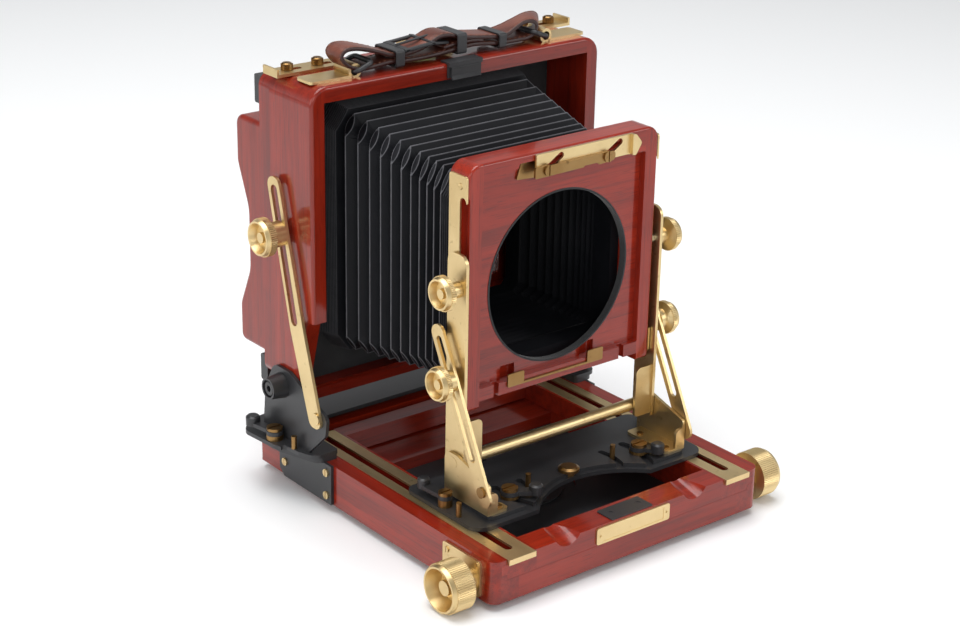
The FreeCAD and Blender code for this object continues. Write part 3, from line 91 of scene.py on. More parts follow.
# brightness of the surroundings from straight down (0) over the horizon (0.5) to straight up (1)
SKY = [(0.0, 0.93), (0.50, 0.93), (0.57, 0.72), (0.68, 0.30), (0.85, 0.22), (1.0, 0.55)]
FLOOR_HALF = 12.0
FLOOR_DROP = 0.0002        # the floor lies this far under the part


def make_camera():
    cam = bpy.data.cameras.new("view")
    cam.sensor_width = 36.0
    cam.lens = CAM_LENS
    cam.clip_start = 0.05
    cam.clip_end = 50
    ob = bpy.data.objects.new("view", cam)
    bpy.context.scene.collection.objects.link(ob)
    cy, sy = math.cos(CAM_YAW), math.sin(CAM_YAW)
    cp, sp = math.cos(CAM_PITCH), math.sin(CAM_PITCH)
    forward = Vector((sy * cp, cy * cp, sp))
    right = Vector((cy, -sy, 0))
    up = right.cross(forward)
    cr, sr = math.cos(CAM_ROLL), math.sin(CAM_ROLL)
    axis_x = right * cr + up * sr
    axis_y = up * cr - right * sr
    m = Matrix((axis_x, axis_y, -forward)).transposed().to_4x4()
    m.translation = CAM_POS
    ob.matrix_world = m
    bpy.context.scene.camera = ob


def area_light(name, place, size, power):
    data = bpy.data.lights.new(name, "AREA")
    data.shape = "RECTANGLE"
    data.size = size[0]
    data.size_y = size[1]
    data.energy = power
    ob = bpy.data.objects.new(name, data)
    bpy.context.scene.collection.objects.link(ob)
    ob.location = place
    ob.rotation_euler = (Vector(AIM) - Vector(place)).to_track_quat("-Z", "Y").to_euler()


def make_world():
    """Bright near the ground, dark above the horizon, a little lighter overhead."""
    world = bpy.data.worlds.new("studio")
    world.use_nodes = True
    tree = world.node_tree
    background = tree.nodes["Background"]
    direction = tree.nodes.new("ShaderNodeTexCoord")
    split = tree.nodes.new("ShaderNodeSeparateXYZ")
    tree.links.new(direction.outputs["Generated"], split.inputs[0])
    ramp = tree.nodes.new("ShaderNodeValToRGB")
    half = tree.nodes.new("ShaderNodeMath")
    half.operation = "MULTIPLY_ADD"
    half.inputs[1].default_value = 0.5
    half.inputs[2].default_value = 0.5
    tree.links.new(split.outputs[2], half.inputs[0])
    tree.links.new(half.outputs[0], ramp.inputs["Fac"])
    items = ramp.color_ramp.elements
    while len(items) < len(SKY):
        items.new(0.5)
    for item, (place, level) in zip(items, SKY):
        item.position = place
        item.color = (level * 0.97, level * 0.985, level, 1)
    tree.links.new(ramp.outputs["Color"], background.inputs["Color"])
    background.inputs["Strength"].default_value = 1.0
    bpy.context.scene.world = world


def make_floor():
    floor = bpy.data.meshes.new("floor")
    bm = bmesh.new()
    span = FLOOR_HALF
    corners = [(-span, -span), (span, -span), (span, span), (-span, span)]
    bm.faces.new([bm.verts.new((x, y, cad_box[0][2] - FLOOR_DROP)) for x, y in corners])
    bm.to_mesh(floor)
    bm.free()
    ob = bpy.data.objects.new("floor", floor)
    bpy.context.scene.collection.objects.link(ob)
    mat = bpy.data.materials.new("paper")
    mat.use_nodes = True
    shader = mat.node_tree.nodes["Principled BSDF"]
    shader.inputs["Base Color"].default_value = (0.93, 0.935, 0.94, 1)
    shader.inputs["Roughness"].default_value = 0.55
    shader.inputs["Specular IOR Level"].default_value = 0.3
    floor.materials.append(mat)


def make_studio():
    bpy.context.scene.view_settings.view_transform = "Standard"
    make_world()
    for light in LIGHTS:
        area_light(*light)
    make_floor()


# ------------------------------------------------------------------ material helpers
class Build:
    """One material's node tree."""

    def __init__(self, name, **settings):
        self.mat = bpy.data.materials.new(name)
        self.mat.use_nodes = True
        self.tree = self.mat.node_tree
        self.shader = self.tree.nodes["Principled BSDF"]
        for key, value in settings.items():
            self.shader.inputs[key.replace("_", " ")].default_value = value
        self.coord = self.tree.nodes.new("ShaderNodeTexCoord").outputs["Object"]

    def put(self, socket, value):
        if isinstance(value, bpy.types.NodeSocket):
            self.tree.links.new(value, socket)
        else:
            socket.default_value = value

    def set(self, name, value):
        self.put(self.shader.inputs[name], value)

    def math(self, op, a, b=0.0, c=0.0, clamp=False):
        n = self.tree.nodes.new("ShaderNodeMath")
        n.operation = op
        n.use_clamp = clamp
        for i, v in enumerate((a, b, c)):
            self.put(n.inputs[i], v)
        return n.outputs[0]

    def axes(self, vector):
        n = self.tree.nodes.new("ShaderNodeSeparateXYZ")
        self.put(n.inputs[0], vector)
        return n.outputs

    def vector(self, x, y, z):
        n = self.tree.nodes.new("ShaderNodeCombineXYZ")
        for i, v in enumerate((x, y, z)):
            self.put(n.inputs[i], v)
        return n.outputs[0]

    def scaled(self, vector, scale):
        n = self.tree.nodes.new("ShaderNodeMapping")
        self.put(n.inputs["Vector"], vector)
        n.inputs["Scale"].default_value = scale
        return n.outputs[0]

    def noise(self, vector, scale, detail=3.0, rough=0.5, warp=0.0):
        n = self.tree.nodes.new("ShaderNodeTexNoise")
        self.put(n.inputs["Vector"], vector)
        n.inputs["Scale"].default_value = scale
        n.inputs["Detail"].default_value = detail
        n.inputs["Roughness"].default_value = rough
        n.inputs["Distortion"].default_value = warp
        return n.outputs["Fac"]

    def ramp(self, value, stops):
        n = self.tree.nodes.new("ShaderNodeValToRGB")
        self.put(n.inputs["Fac"], value)
        items = n.color_ramp.elements
        while len(items) < len(stops):
            items.new(0.5)
        for item, (place, colour) in zip(items, stops):
            item.position = place
            if not hasattr(colour, "__len__"):
                colour = (colour, colour, colour)
            item.color = (*colour, 1)
        return n.outputs["Color"]

    def mix(self, fac, a, b, mode="MIX"):
        n = self.tree.nodes.new("ShaderNodeMix")
        n.data_type = "RGBA"
        n.blend_type = mode
        self.put(n.inputs["Factor"], fac)
        for key, v in (("A", a), ("B", b)):
            socket = [s for s in n.inputs if s.name == key and s.type == "RGBA"][0]
            self.put(socket, v if isinstance(v, bpy.types.NodeSocket) else (*v, 1))
        return [s for s in n.outputs if s.type == "RGBA"][0]

    def bump(self, height, strength, distance, normal=None):
        n = self.tree.nodes.new("ShaderNodeBump")
        n.inputs["Strength"].default_value = strength
        n.inputs["Distance"].default_value = distance
        self.put(n.inputs["Height"], height)
        if normal is not None:
            self.put(n.inputs["Normal"], normal)
        return n.outputs[0]

    def attribute(self, name):
        n = self.tree.nodes.new("ShaderNodeAttribute")
        n.attribute_name = name
        return n.outputs["Fac"]


def wood(name, swap, tone=1.0, seed=0.0):
    """Lacquered rosewood. swap(build, x, y, z) returns the grain-aligned vector, grain along its X."""
    b = Build(name, Specular_IOR_Level=0.12)
    x, y, z = b.axes(b.coord)
    along = swap(b, x, y, z)
    shifted = b.tree.nodes.new("ShaderNodeMapping")
    b.put(shifted.inputs["Vector"], along)
    shifted.inputs["Location"].default_value = (seed, seed * 0.7, -seed * 1.3)
    base = shifted.outputs[0]
    bands = b.noise(b.scaled(base, (7, 95, 95)), 1.0, 4.0, 0.6, 0.6)
    streak = b.noise(b.scaled(base, (14, 420, 420)), 1.0, 3.0, 0.55, 0.2)
    pores = b.noise(b.scaled(base, (90, 2400, 2400)), 1.0, 1.0, 0.5)
    cloud = b.noise(base, 9.0, 2.0, 0.5)
    stops = [(0.28, (0.125 * tone, 0.0080 * tone, 0.0030 * tone)),
             (0.45, (0.215 * tone, 0.0125 * tone, 0.0040 * tone)),
             (0.60, (0.290 * tone, 0.0190 * tone, 0.0055 * tone)),
             (0.76, (0.370 * tone, 0.0310 * tone, 0.0085 * tone))]
    colour = b.ramp(b.math("ADD", b.math("MULTIPLY", bands, 0.62), b.math("MULTIPLY", cloud, 0.38)), stops)
    dark_streak = (0.075 * tone, 0.007 * tone, 0.004 * tone)
    colour = b.mix(b.ramp(streak, [(0.36, 0.34), (0.52, 0.0)]), colour, dark_streak)
    colour = b.mix(b.ramp(pores, [(0.30, 0.40), (0.40, 0.0)]), colour, (0.030, 0.004, 0.003))
    b.set("Base Color", colour)
    b.set("Roughness", b.ramp(cloud, [(0.3, 0.30), (0.7, 0.40)]))
    b.shader.inputs["Coat Weight"].default_value = 0.8
    b.shader.inputs["Coat Roughness"].default_value = 0.10
    b.shader.inputs["Coat IOR"].default_value = 1.5
    b.set("Normal", b.bump(b.math("ADD", pores, b.math("MULTIPLY", bands, 2.0)), 0.10, 0.0004))
    return b.mat


def grain_x(b, x, y, z):
    return b.vector(x, y, z)


def grain_y(b, x, y, z):
    return b.vector(y, x, z)


def grain_z(b, x, y, z):
    return b.vector(z, x, y)


def pick(b, chooser, first, second):
    """first where chooser is 1, second where it is 0, for vectors."""
    n = b.tree.nodes.new("ShaderNodeMix")
    n.data_type = "VECTOR"
    b.put(n.inputs["Factor"], chooser)
    sockets = [s for s in n.inputs if s.type == "VECTOR"]
    b.put(sockets[-2], second)
    b.put(sockets[-1], first)
    return [s for s in n.outputs if s.type == "VECTOR"][0]


def rails(side_limit, side_grain, cross_grain):
    """Grain that runs with the side rails outside |x| = side_limit and across elsewhere."""
    def swap(b, x, y, z):
        outside = b.math("GREATER_THAN", b.math("ABSOLUTE", x), side_limit * MM)
        return pick(b, outside, side_grain(b, x, y, z), cross_grain(b, x, y, z))
    return swap


def brass(name, colour, rough=0.27, dirt=0.5, grain=None):
    b = Build(name, Metallic=1.0)
    fine = b.noise(b.scaled(b.coord, grain or (60, 60, 60)), 60.0 if grain is None else 1.0, 3.0, 0.6)
    cloud = b.noise(b.coord, 38.0, 4.0, 0.6)
    spots = b.noise(b.coord, 260.0, 2.0, 0.5)
    tarnish = (colour[0] * 0.66, colour[1] * 0.58, colour[2] * 0.45)
    fleck = (colour[0] * 0.4, colour[1] * 0.33, colour[2] * 0.25)
    c = b.mix(b.ramp(cloud, [(0.38, dirt * 0.7), (0.62, 0.0)]), colour, tarnish)
    c = b.mix(b.ramp(spots, [(0.24, dirt), (0.34, 0.0)]), c, fleck)
    b.set("Base Color", c)
    b.set("Roughness", b.ramp(fine, [(0.3, rough - 0.05), (0.7, rough + 0.10)]))
    b.set("Normal", b.bump(fine, 0.10, 0.00006))
    return b.mat


def black_paint(name, level=0.018, rough=0.38):
    b = Build(name)
    fine = b.noise(b.coord, 2600.0, 2.0, 0.6)
    cloud = b.noise(b.coord, 30.0, 3.0, 0.6)
    low = (level, level, level * 1.08)
    high = (level * 1.7, level * 1.7, level * 1.85)
    b.set("Base Color", b.ramp(cloud, [(0.3, low), (0.7, high)]))
    b.set("Roughness", b.ramp(cloud, [(0.3, rough - 0.05), (0.7, rough + 0.08)]))
    b.set("Normal", b.bump(fine, 0.12, 0.00008))
    return b.mat


def steel(name):
    b = Build(name, Metallic=1.0)
    fine = b.noise(b.scaled(b.coord, (40, 2500, 2500)), 1.0, 2.0, 0.6)
    b.set("Base Color", b.ramp(fine, [(0.3, (0.42, 0.42, 0.43)), (0.7, (0.62, 0.62, 0.63))]))
    b.set("Roughness", b.ramp(fine, [(0.3, 0.25), (0.7, 0.42)]))
    return b.mat


def velvet(name):
    b = Build(name, Roughness=0.95)
    fine = b.noise(b.coord, 2200.0, 2.0, 0.7)
    cloud = b.noise(b.coord, 60.0, 3.0, 0.6)
    b.set("Base Color", b.ramp(cloud, [(0.3, (0.010, 0.010, 0.011)), (0.7, (0.024, 0.024, 0.026))]))
    b.shader.inputs["Sheen Weight"].default_value = 0.25
    b.shader.inputs["Sheen Roughness"].default_value = 0.5
    b.set("Normal", b.bump(fine, 0.5, 0.0003))
    return b.mat


def bellows_material():
    b = Build("bellows_cloth")
    grain = b.noise(b.coord, 1300.0, 3.0, 0.65)
    cloud = b.noise(b.coord, 45.0, 4.0, 0.65)
    wear = b.attribute("wear")
    broken = b.noise(b.coord, 170.0, 3.0, 0.7)
    dark = b.ramp(cloud, [(0.3, (0.0045, 0.005, 0.007)),
                          (0.62, (0.008, 0.0085, 0.011)),
                          (0.8, (0.016, 0.0165, 0.019))])
    amount = b.math("MULTIPLY", wear, b.math("ADD", b.math("MULTIPLY", broken, 0.9), 0.45), clamp=True)
    colour = b.mix(amount, dark, (0.17, 0.17, 0.185))
    b.set("Base Color", colour)
    b.set("Roughness", b.ramp(cloud, [(0.3, 0.50), (0.7, 0.66)]))
    b.shader.inputs["Specular IOR Level"].default_value = 0.22
    b.set("Normal", b.bump(grain, 0.35, 0.00012))
    return b.mat


def leather():
    b = Build("strap_leather")
    cells = b.tree.nodes.new("ShaderNodeTexVoronoi")
    b.put(cells.inputs["Vector"], b.coord)
    cells.inputs["Scale"].default_value = 950.0
    cloud = b.noise(b.coord, 70.0, 4.0, 0.65)
    edge = b.attribute("edge")
    colour = b.ramp(cloud, [(0.25, (0.055, 0.012, 0.007)),
                            (0.5, (0.125, 0.032, 0.018)),
                            (0.78, (0.21, 0.068, 0.040))])
    colour = b.mix(edge, colour, (0.030, 0.008, 0.006))
    b.set("Base Color", colour)
    b.set("Roughness", b.ramp(cloud, [(0.3, 0.34), (0.7, 0.50)]))
    b.set("Normal", b.bump(cells.outputs["Distance"], 0.25, 0.0002))
    return b.mat


def thread():
    b = Build("strap_thread", Roughness=0.7)
    twist = b.noise(b.coord, 3000.0, 2.0, 0.6)
    b.set("Base Color", b.ramp(twist, [(0.3, (0.16, 0.06, 0.035)), (0.7, (0.30, 0.14, 0.09))]))
    b.set("Normal", b.bump(twist, 0.4, 0.0001))
    return b.mat


def ground_glass():
    b = Build("ground_glass", IOR=1.5)
    b.shader.inputs["Transmission Weight"].default_value = 0.75
    fine = b.noise(b.coord, 3200.0, 2.0, 0.7)
    b.set("Base Color", b.ramp(fine, [(0.3, (0.60, 0.66, 0.65)), (0.7, (0.74, 0.79, 0.78))]))
    b.set("Roughness", b.ramp(fine, [(0.3, 0.42), (0.7, 0.55)]))
    b.set("Normal", b.bump(fine, 0.3, 0.00005))
    return b.mat


def vial():
    b = Build("vial_fluid", IOR=1.45)
    b.shader.inputs["Transmission Weight"].default_value = 0.35
    tint = b.noise(b.coord, 90.0, 2.0, 0.5)
    b.set("Base Color", b.ramp(tint, [(0.3, (0.52, 0.66, 0.16)), (0.7, (0.66, 0.78, 0.26))]))
    b.set("Roughness", b.ramp(tint, [(0.3, 0.04), (0.7, 0.10)]))
    return b.mat


MATERIALS = {
    "wood_bed": wood("wood_bed", rails(68.0, grain_y, grain_x), 1.0, 0.31),
    "wood_slide": wood("wood_slide", rails(58.0, grain_y, grain_x), 1.05, 1.7),
    "wood_lens": wood("wood_lens", rails(48.5, grain_z, grain_x), 1.1, 2.9),
    "wood_body": wood("wood_body", rails(79.0, grain_z, grain_x), 0.95, 4.1),
    "wood_back": wood("wood_back", rails(66.0, grain_z, grain_x), 0.9, 5.3),
    "wood_spring": wood("wood_spring", rails(62.0, grain_z, grain_x), 0.85, 6.7),
    "brass": brass("brass", (0.74, 0.57, 0.30), 0.34, 0.40),
    "brass_rail": brass("brass_rail", (0.76, 0.58, 0.31), 0.38, 0.4, (900, 12, 900)),
    "dark_brass": brass("dark_brass", (0.33, 0.20, 0.08), 0.33, 0.8),
    "black": black_paint("black_paint"),
    "steel": steel("steel"),
    "velvet": velvet("velvet"),
    "glass": ground_glass(),
    "bellows": bellows_material(),
    "leather": leather(),
    "thread": thread(),
    "vial": vial(),
}
FINISH = {
    "wood_bed": ["bed_frame"],
    "wood_slide": ["slide_frame"],
    "wood_lens": ["lens_frame"],
    "wood_body": ["body_shell"],
    "wood_back": ["back_frame"],
    "wood_spring": ["gg_frame"],
    "brass": ["bearing_plates", "focus_knob_l", "focus_knob_r", "focus_lock_ring", "racks",
              "name_plate", "front_brackets", "braces", "tilt_studs", "tilt_knob_l", "tilt_knob_r",
              "uprights", "rise_knob_l", "rise_knob_r", "slot_plates", "board_lock", "rear_arms",
              "rear_knob_l", "rear_knob_r", "lock_slide_l", "lock_slide_r", "strap_plates", "spirit_level"],
    "brass_rail": ["rail_plates"],
    "dark_brass": ["lock_posts", "bracket_screws", "rear_posts", "lock_screws", "board_clips"],
    "black": ["tripod_socket", "side_plates", "catch_plate", "base_plate",
              "front_lever_ol", "front_lever_or", "front_lever_il", "front_lever_ir",
              "swing_plate", "rear_plate", "rear_brackets", "rear_lever_l", "rear_lever_r",
              "body_pivots", "back_hooks", "strap_rings", "top_catch", "catch_base"],
    "steel": ["focus_shaft", "rise_studs"],
    "velvet": ["light_ring", "bellows_frame"],
    "glass": ["ground_glass"],
}
# rounded edge of each piece that catches the light, in millimetres
WORN = {
    "bed_frame": 0.5, "slide_frame": 0.4, "lens_frame": 0.5, "body_shell": 0.4, "back_frame": 0.5,
    "rail_plates": 0.2, "base_plate": 0.25, "swing_plate": 0.25, "rear_plate": 0.25,
    "rear_arms": 0.3, "uprights": 0.25, "braces": 0.25, "front_brackets": 0.25, "side_plates": 0.3,
}


def dress_cad():
    for key, names in FINISH.items():
        for name in names:
            mesh = nodes[name].data
            mesh.materials.clear()
            mesh.materials.append(MATERIALS[key])
            if name in WORN:
                edge = nodes[name].modifiers.new("edge", "BEVEL")
                edge.width = WORN[name] * MM
                edge.segments = 2
                edge.limit_method = "ANGLE"
                edge.angle_limit = math.radians(40)
                edge.harden_normals = True


# ------------------------------------------------------------------ mesh helpers
def piece(name, bm, material, body=None, smooth=True):
    """Turn bm into an object with a material, carried by a body if one is given."""
    mesh = bpy.data.meshes.new(name)
    bm.to_mesh(mesh)
    bm.free()
    ob = bpy.data.objects.new(name, mesh)
    bpy.context.scene.collection.objects.link(ob)
    mesh.materials.append(MATERIALS[material])
    if smooth:
        for p in mesh.polygons:
            p.use_smooth = True
    if body:
        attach(ob, body)
    return ob


# ------------------------------------------------------------------ bellows
FRONT_Y, REAR_Y = 68.1, 163.4
FRONT = dict(w=98.0, h=98.0, z=122.2)
REAR = dict(w=126.0, h=127.0, z=127.35)
PLEAT = 8.2               # depth of a pleat
GUSSET_X, GUSSET_Z = 7.5, 10.0
CREASE = -1.0             # marks a ring that is worn only outside the corner gussets
MAIN_PLEATS = (9.2, 8.4, 7.6, 7.3, 7.0, 6.5, 6.2, 5.2, 4.6, 4.5, 4.2)
# from the rear: name, the two bodies it joins, where it starts and ends, pleats as a count or as pitches
SECTIONS = [
    ("bellows_tilt", "rear_body", "rear_base", 163.4, 159.6, 3),
    ("bellows_swing", "rear_base", "bed", 159.6, 157.0, 2),
    ("bellows_focus", "bed", "focus_slide", 157.0, 150.6, 6),
    ("bellows_main", "focus_slide", "front_base", 150.6, 81.6, MAIN_PLEATS),
    ("bellows_front_swing", "front_base", "front_swing", 81.6, 78.0, 3),
    ("bellows_fold", "front_swing", "front_standard", 78.0, 72.0, 5),
    ("bellows_rise", "front_standard", "lens_standard", 72.0, 68.1, 3),
]


def ring_points(y, inset, split, lag):
    """Points round the bellows at distance y. split is how far the two gusset edges stand apart."""
    t = (y - FRONT_Y) / (REAR_Y - FRONT_Y)
    hw = lerp(FRONT["w"], REAR["w"], t) / 2 - inset
    hh = lerp(FRONT["h"], REAR["h"], t) / 2 - inset
    zc = lerp(FRONT["z"], REAR["z"], t)
    gx = max(GUSSET_X - inset * 0.55, 0.8)
    gz = max(GUSSET_Z - inset * 0.75, 0.8)
    sides = 8
    gusset = 6
    points = []
    for corner in range(4):
        sx = (-1, 1, 1, -1)[corner]
        sz = (1, 1, -1, -1)[corner]
        # corner goes clockwise seen from the front: left top, right top, right bottom, left bottom
        side_end = (sx * hw, zc + sz * (hh - gz))
        top_end = (sx * (hw - gx), zc + sz * hh)
        first, last = (side_end, top_end) if corner in (0, 2) else (top_end, side_end)
        for i in range(gusset + 1):
            u = i / gusset
            a = lerp(first[0], last[0], u)
            c = lerp(first[1], last[1], u)
            swell = math.sin(math.pi * u)
            rise = u if corner in (0, 2) else 1 - u
            points.append((a, y + split * swell + lag * (rise - 0.5), c, swell))
        # straight run to the next corner
        nsx = (-1, 1, 1, -1)[(corner + 1) % 4]
        nsz = (1, 1, -1, -1)[(corner + 1) % 4]
        n_side = (nsx * hw, zc + nsz * (hh - gz))
        n_top = (nsx * (hw - gx), zc + nsz * hh)
        nxt = n_side if (corner + 1) % 4 in (0, 2) else n_top
        offset = lag * ((1 if corner in (0, 2) else 0) - 0.5)
        for i in range(1, sides):
            u = i / sides
            points.append((lerp(last[0], nxt[0], u), y + offset, lerp(last[1], nxt[1], u), 0.0))
    return points


def bellows_section(name, first, second, y0, y1, pleats):
    if isinstance(pleats, int):
        steps = [abs(y1 - y0) / pleats] * pleats
    else:
        scale = abs(y1 - y0) / sum(pleats)
        steps = [p * scale for p in pleats]
    rings = []
    y = y0
    rings.append((y, PLEAT, 0.0, 0.0))
    for p in steps:
        mid = y - p / 2
        flat = min(0.15, p * 0.16)
        spread = p * 0.26
        crest = max(0.0, PLEAT / 2 - math.sqrt(max((PLEAT / 2) ** 2 - (p / 4) ** 2, 0)))
        rings.append((mid + flat * 2.2, 0.55 + crest, spread, 0.0))
        rings.append((mid + flat, 0.10 + crest, spread, 1.0))
        rings.append((mid + flat * 0.4, 0.16 + crest, spread * 0.86, CREASE))
        rings.append((mid, crest, 0.0, CREASE))
        rings.append((mid - flat * 0.4, 0.16 + crest, -spread * 0.86, CREASE))
        rings.append((mid - flat, 0.10 + crest, -spread, 1.0))
        rings.append((mid - flat * 2.2, 0.55 + crest, -spread, 0.0))
        y -= p
        rings.append((y, PLEAT, 0.0, 0.0))
    big = steps[0] > 3
    bm = bmesh.new()
    wear_layer = bm.verts.layers.float.new("wear")
    rows = []
    for ry, inset, split, wear in rings:
        row = []
        for x, yy, z, swell in ring_points(ry, inset, split, 2.4 if big else 0.0):
            v = bm.verts.new(at(x, min(max(yy, y1), y0), z))
            shown = (1.0 - min(1.0, swell * 3.0)) if wear == CREASE else wear
            v[wear_layer] = shown * (1.0 if big else 0.25)
            row.append(v)
        rows.append(row)
    for r0, r1 in zip(rows, rows[1:]):
        n = len(r0)
        for i in range(n):
            j = (i + 1) % n
            bm.faces.new((r0[i], r0[j], r1[j], r1[i]))
    bmesh.ops.recalc_face_normals(bm, faces=bm.faces)
    ob = piece(name, bm, "bellows", smooth=False)
    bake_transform(ob)
    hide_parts("bellows")


def make_bellows():
    for args in SECTIONS:
        bellows_section(*args)


# ------------------------------------------------------------------ carrying strap
TOP = 206.7
STRAP_Y = 146.0
STRAP_W = 14.4
STITCH = 2.6              # from one stitch to the next
# the strap's upper face, edge to edge: place as a share of the half width, height as a share of the
# thickness, and how much of the rubbed edge colour shows
STRAP_FACE = [
    (-1, 0.0, 1), (-0.985, 0.36, 1), (-0.94, 0.5, 0.8), (-0.86, 0.50, 0.1), (-0.80, 0.42, 0.45),
    (-0.74, 0.5, 0), (-0.4, 0.54, 0), (0, 0.56, 0), (0.4, 0.54, 0), (0.74, 0.5, 0),
    (0.80, 0.42, 0.45), (0.86, 0.50, 0.1), (0.94, 0.5, 0.8), (0.985, 0.36, 1), (1, 0.0, 1),
]
KEEPER_HALF = 8.0         # inner half width of the bands round the strap
KEEPER_TURN = 24          # points round a band


def smooth_path(points, step=1.0):
    """Catmull-Rom samples through (x, z, skew) points."""
    pts = [Vector(p) for p in points]
    pts = [pts[0] * 2 - pts[1]] + pts + [pts[-1] * 2 - pts[-2]]
    out = []
    for i in range(1, len(pts) - 2):
        p0, p1, p2, p3 = pts[i - 1:i + 3]
        count = max(2, int((p2 - p1).length / step))
        for k in range(count):
            t = k / count
            out.append(0.5 * ((2 * p1) + (p2 - p0) * t + (2 * p0 - 5 * p1 + 4 * p2 - p3) * t * t
                              + (3 * p1 - p0 - 3 * p2 + p3) * t ** 3))
    out.append(pts[-2])
    return out


def band(name, points, thick=1.9):
    """A flat strap along points (x, height over the body top, skew)."""
    path = smooth_path(points)
    half = STRAP_W / 2
    profile = [(a * half, lift * thick, edge) for a, lift, edge in STRAP_FACE]
    under = [(a, -lift, e) for a, lift, e in profile[1:-1]][::-1]
    ring = profile + under
    bm = bmesh.new()
    edge_layer = bm.verts.layers.float.new("edge")
    rows = []
    frames = []
    for i, p in enumerate(path):
        a = path[max(i - 1, 0)]
        c = path[min(i + 1, len(path) - 1)]
        tangent = Vector((c[0] - a[0], c[1] - a[1])).normalized()
        normal = Vector((-tangent[1], tangent[0]))
        frames.append((p, tangent, normal))
        row = []
        for across, lift, edge in ring:
            x = p[0] + normal[0] * lift + p[2] * (across + half) / STRAP_W
            z = TOP + p[1] + normal[1] * lift
            v = bm.verts.new(at(x, STRAP_Y + across, z))
            v[edge_layer] = edge
            row.append(v)
        rows.append(row)
    count = len(ring)
    for r0, r1 in zip(rows, rows[1:]):
        for i in range(count):
            j = (i + 1) % count
            bm.faces.new((r0[i], r0[j], r1[j], r1[i]))
    bm.faces.new(rows[0][::-1])
    bm.faces.new(rows[-1])
    bmesh.ops.recalc_face_normals(bm, faces=bm.faces)
    ob = piece(name, bm, "leather", "rear_body")
    sew(name + "_stitches", frames, thick)
    return ob


def sew(name, frames, thick):
    """Rows of raised thread in the grooves along both edges, on both faces."""
    bm = bmesh.new()
    run = 0.0
    last = None
    for p, tangent, normal in frames:
        if last is not None:
            run += math.hypot(p[0] - last[0], p[1] - last[1])
        last = p
        if run < STITCH:
            continue
        run = 0.0
        for across in (-0.80, 0.80):
            for face in (-1, 1):
                y = across * STRAP_W / 2
                ring_rows = []
                for u, r in ((-0.8, 0.10), (-0.45, 0.22), (0.45, 0.22), (0.8, 0.10)):
                    row = []
                    for k in range(5):
                        ang = 2 * math.pi * k / 5
                        lift = face * (0.44 * thick + 0.06) + r * math.sin(ang)
                        side = r * math.cos(ang)
                        skew = p[2] * (y + STRAP_W / 2) / STRAP_W
                        x = p[0] + tangent[0] * u + normal[0] * lift + skew
                        z = TOP + p[1] + tangent[1] * u + normal[1] * lift
                        row.append(bm.verts.new(at(x, STRAP_Y + y + side, z)))
                    ring_rows.append(row)
                for r0, r1 in zip(ring_rows, ring_rows[1:]):
                    for k in range(5):
                        j = (k + 1) % 5
                        bm.faces.new((r0[k], r0[j], r1[j], r1[k]))
                bm.faces.new(ring_rows[0][::-1])
                bm.faces.new(ring_rows[-1])
    bmesh.ops.recalc_face_normals(bm, faces=bm.faces)
    ob = piece(name, bm, "thread", "rear_body")


def keeper(name, half_height, x, height, along):
    """A rounded black band round the strap; half_height is measured inside it."""
    inner = (KEEPER_HALF, half_height)
    outer = (KEEPER_HALF + 0.9, half_height + 0.8)
    bm = bmesh.new()
    rows = []
    for side in (-along / 2, along / 2):
        for half_w, half_h in (outer, inner):
            row = []
            r = min(half_h * 0.5, 1.2)
            for k in range(KEEPER_TURN):
                ang = 2 * math.pi * (k + 0.5) / KEEPER_TURN
                py = math.copysign(half_w - r, math.cos(ang)) + r * math.cos(ang)
                pz = math.copysign(half_h - r, math.sin(ang)) + r * math.sin(ang)
                row.append(bm.verts.new(at(x + side, STRAP_Y + py, TOP + height + pz)))
            rows.append(row)
    for a, b in ((0, 1), (1, 3), (3, 2), (2, 0)):
        for k in range(KEEPER_TURN):
            j = (k + 1) % KEEPER_TURN
            bm.faces.new((rows[a][k], rows[a][j], rows[b][j], rows[b][k]))
    bmesh.ops.recalc_face_normals(bm, faces=bm.faces)
    ob = piece(name, bm, "black", "rear_body", smooth=False)
    mod = ob.modifiers.new("edge", "BEVEL")
    mod.width = 0.35 * MM
    mod.segments = 2
    mod.limit_method = "ANGLE"


def slab(bm, x0, x1, y0, y1, low0, low1, thick, taper=0.0):
    """A flat bar from x0 to x1 whose underside goes from low0 to low1; taper narrows its far end."""
    corners = []
    for x, low, pull in ((x0, low0, 0.0), (x1, low1, taper)):
        for y in (y0 + pull, y1 - pull):
            for z in (low, low + thick):
                corners.append(bm.verts.new(at(x, y, TOP + z)))
    for quad in ((0, 1, 3, 2), (4, 6, 7, 5), (0, 4, 5, 1), (2, 3, 7, 6), (1, 5, 7, 3), (0, 2, 6, 4)):
        bm.faces.new([corners[k] for k in quad])


def make_buckle():
    """Black frame, prong and tapered end lying on the strap, as rounded bars and one flat tip."""
    bm = bmesh.new()
    slab(bm, -30.5, -27.6, 136.8, 155.2, 7.9, 8.2, 1.5)
    slab(bm, -15.4, -12.6, 136.8, 155.2, 9.6, 9.2, 1.5)
    slab(bm, -30.5, -12.6, 136.8, 139.0, 7.9, 9.3, 1.5)
    slab(bm, -30.5, -12.6, 153.0, 155.2, 7.9, 9.3, 1.5)
    slab(bm, -29.5, -10.5, 145.2, 146.8, 9.2, 11.2, 1.0)
    slab(bm, -14.0, -2.0, 137.6, 148.2, 9.0, 7.2, 1.5, 2.8)
    bmesh.ops.recalc_face_normals(bm, faces=bm.faces)
    ob = piece("strap_buckle", bm, "black", "rear_body", smooth=False)
    mod = ob.modifiers.new("edge", "BEVEL")
    mod.width = 0.45 * MM
    mod.segments = 3


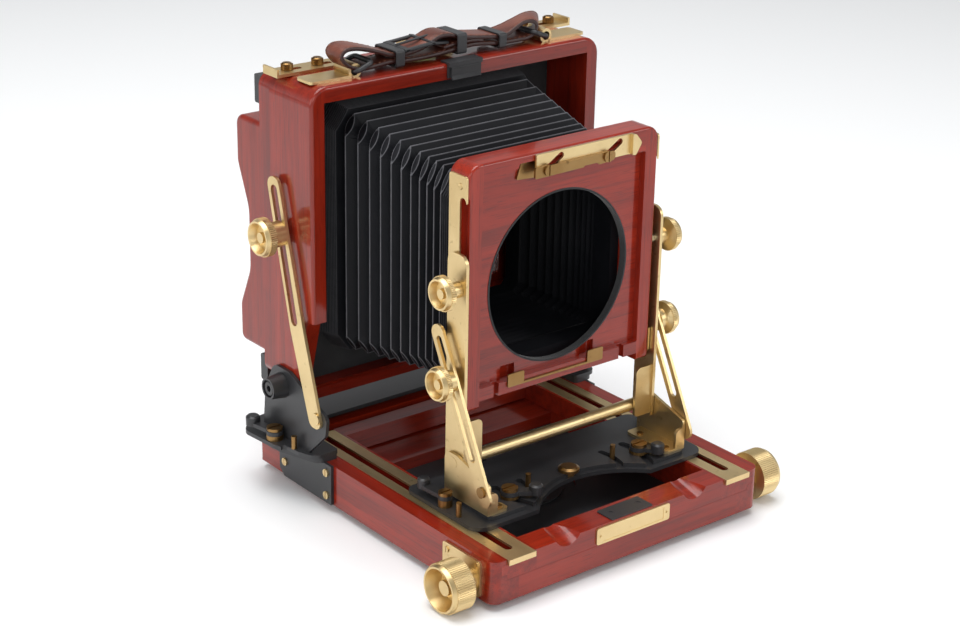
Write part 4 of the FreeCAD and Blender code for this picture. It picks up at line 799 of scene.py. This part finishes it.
def make_strap():
    left = band("strap_left_loop", [
        (-30.5, 3.8, 0), (-38, 4.0, 0), (-46, 3.4, 0), (-53, 3.2, 0), (-59, 4.6, 0), (-63.5, 7.6, 1),
        (-65, 10.8, 1), (-62.5, 13.2, 1), (-57, 13.2, 1), (-50, 11.6, 0), (-43, 9.4, 0), (-36.5, 7.2, 0),
        (-30.5, 6.6, 0)])
    band("strap_lower", [
        (-29.5, 3.4, 0), (-20, 3.2, 0), (-9, 3.6, 0), (2, 4.6, 0), (12, 5.2, 0), (20, 4.4, 0),
        (28, 3.4, 0)])
    band("strap_right_loop", [
        (28.5, 3.4, 0), (40, 3.4, 2), (46, 3.6, 6), (50, 5.6, 10), (51, 8.8, 12), (48.5, 11.4, 12),
        (43, 11.6, 11), (38, 9.6, 8), (34, 7.6, 4), (29, 6.6, 1), (22, 7.4, 0), (14, 8.4, 0),
        (6, 9.6, 0), (1, 10.8, 0.5), (-4, 12.0, 1), (-9, 11.8, 1.5), (-14, 9.8, 1), (-19, 8.0, 0.5),
        (-24, 7.0, 0), (-29.5, 6.6, 0)])
    band("strap_tail", [(-6, 6.2, 0), (3, 7.2, 0), (12, 7.2, 0), (18, 6.4, 0)], thick=1.6)
    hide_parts("strap")
    keeper("strap_keeper_left", 3.3, -33, 5.2, 5.0)
    keeper("strap_keeper_mid", 4.2, 3.5, 7.2, 5.6)
    keeper("strap_keeper_right", 2.9, 28.6, 5.0, 4.6)
    make_buckle()


VIAL_Y = 162.5
VIAL_UP = 3.4             # the vial's axis over the body top
VIAL_R, VIAL_LONG = 2.7, 17.8


def make_level():
    """Glass vial in the brass case of the spirit level."""
    low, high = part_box("spirit_level")
    place = at(0, VIAL_Y, TOP + VIAL_UP)
    place.x = (low[0] + high[0]) / 2
    turn = Matrix.Translation(place) @ Matrix.Rotation(math.pi / 2, 4, "Y")
    bm = bmesh.new()
    bmesh.ops.create_cone(bm, cap_ends=True, segments=32, radius1=VIAL_R * MM, radius2=VIAL_R * MM,
                          depth=VIAL_LONG * MM, matrix=turn)
    ob = piece("level_vial", bm, "vial", "rear_body")


# the two far corners of the board that closes the back frame's window above the focusing screen
BOARD_LOW = at(-65.8, 172.4, 171.5)
BOARD_HIGH = at(65.8, 177.0, 185.8)


def make_back_board():
    bm = bmesh.new()
    place = Matrix.Translation((BOARD_LOW + BOARD_HIGH) / 2)
    size = BOARD_HIGH - BOARD_LOW
    bmesh.ops.create_cube(bm, size=1.0, matrix=place @ Matrix.Diagonal((*size, 1)))
    ob = piece("back_top_board", bm, "wood_back", "rear_body", smooth=False)


make_camera()
make_studio()
dress_cad()
make_bellows()
make_strap()
make_level()
make_back_board()
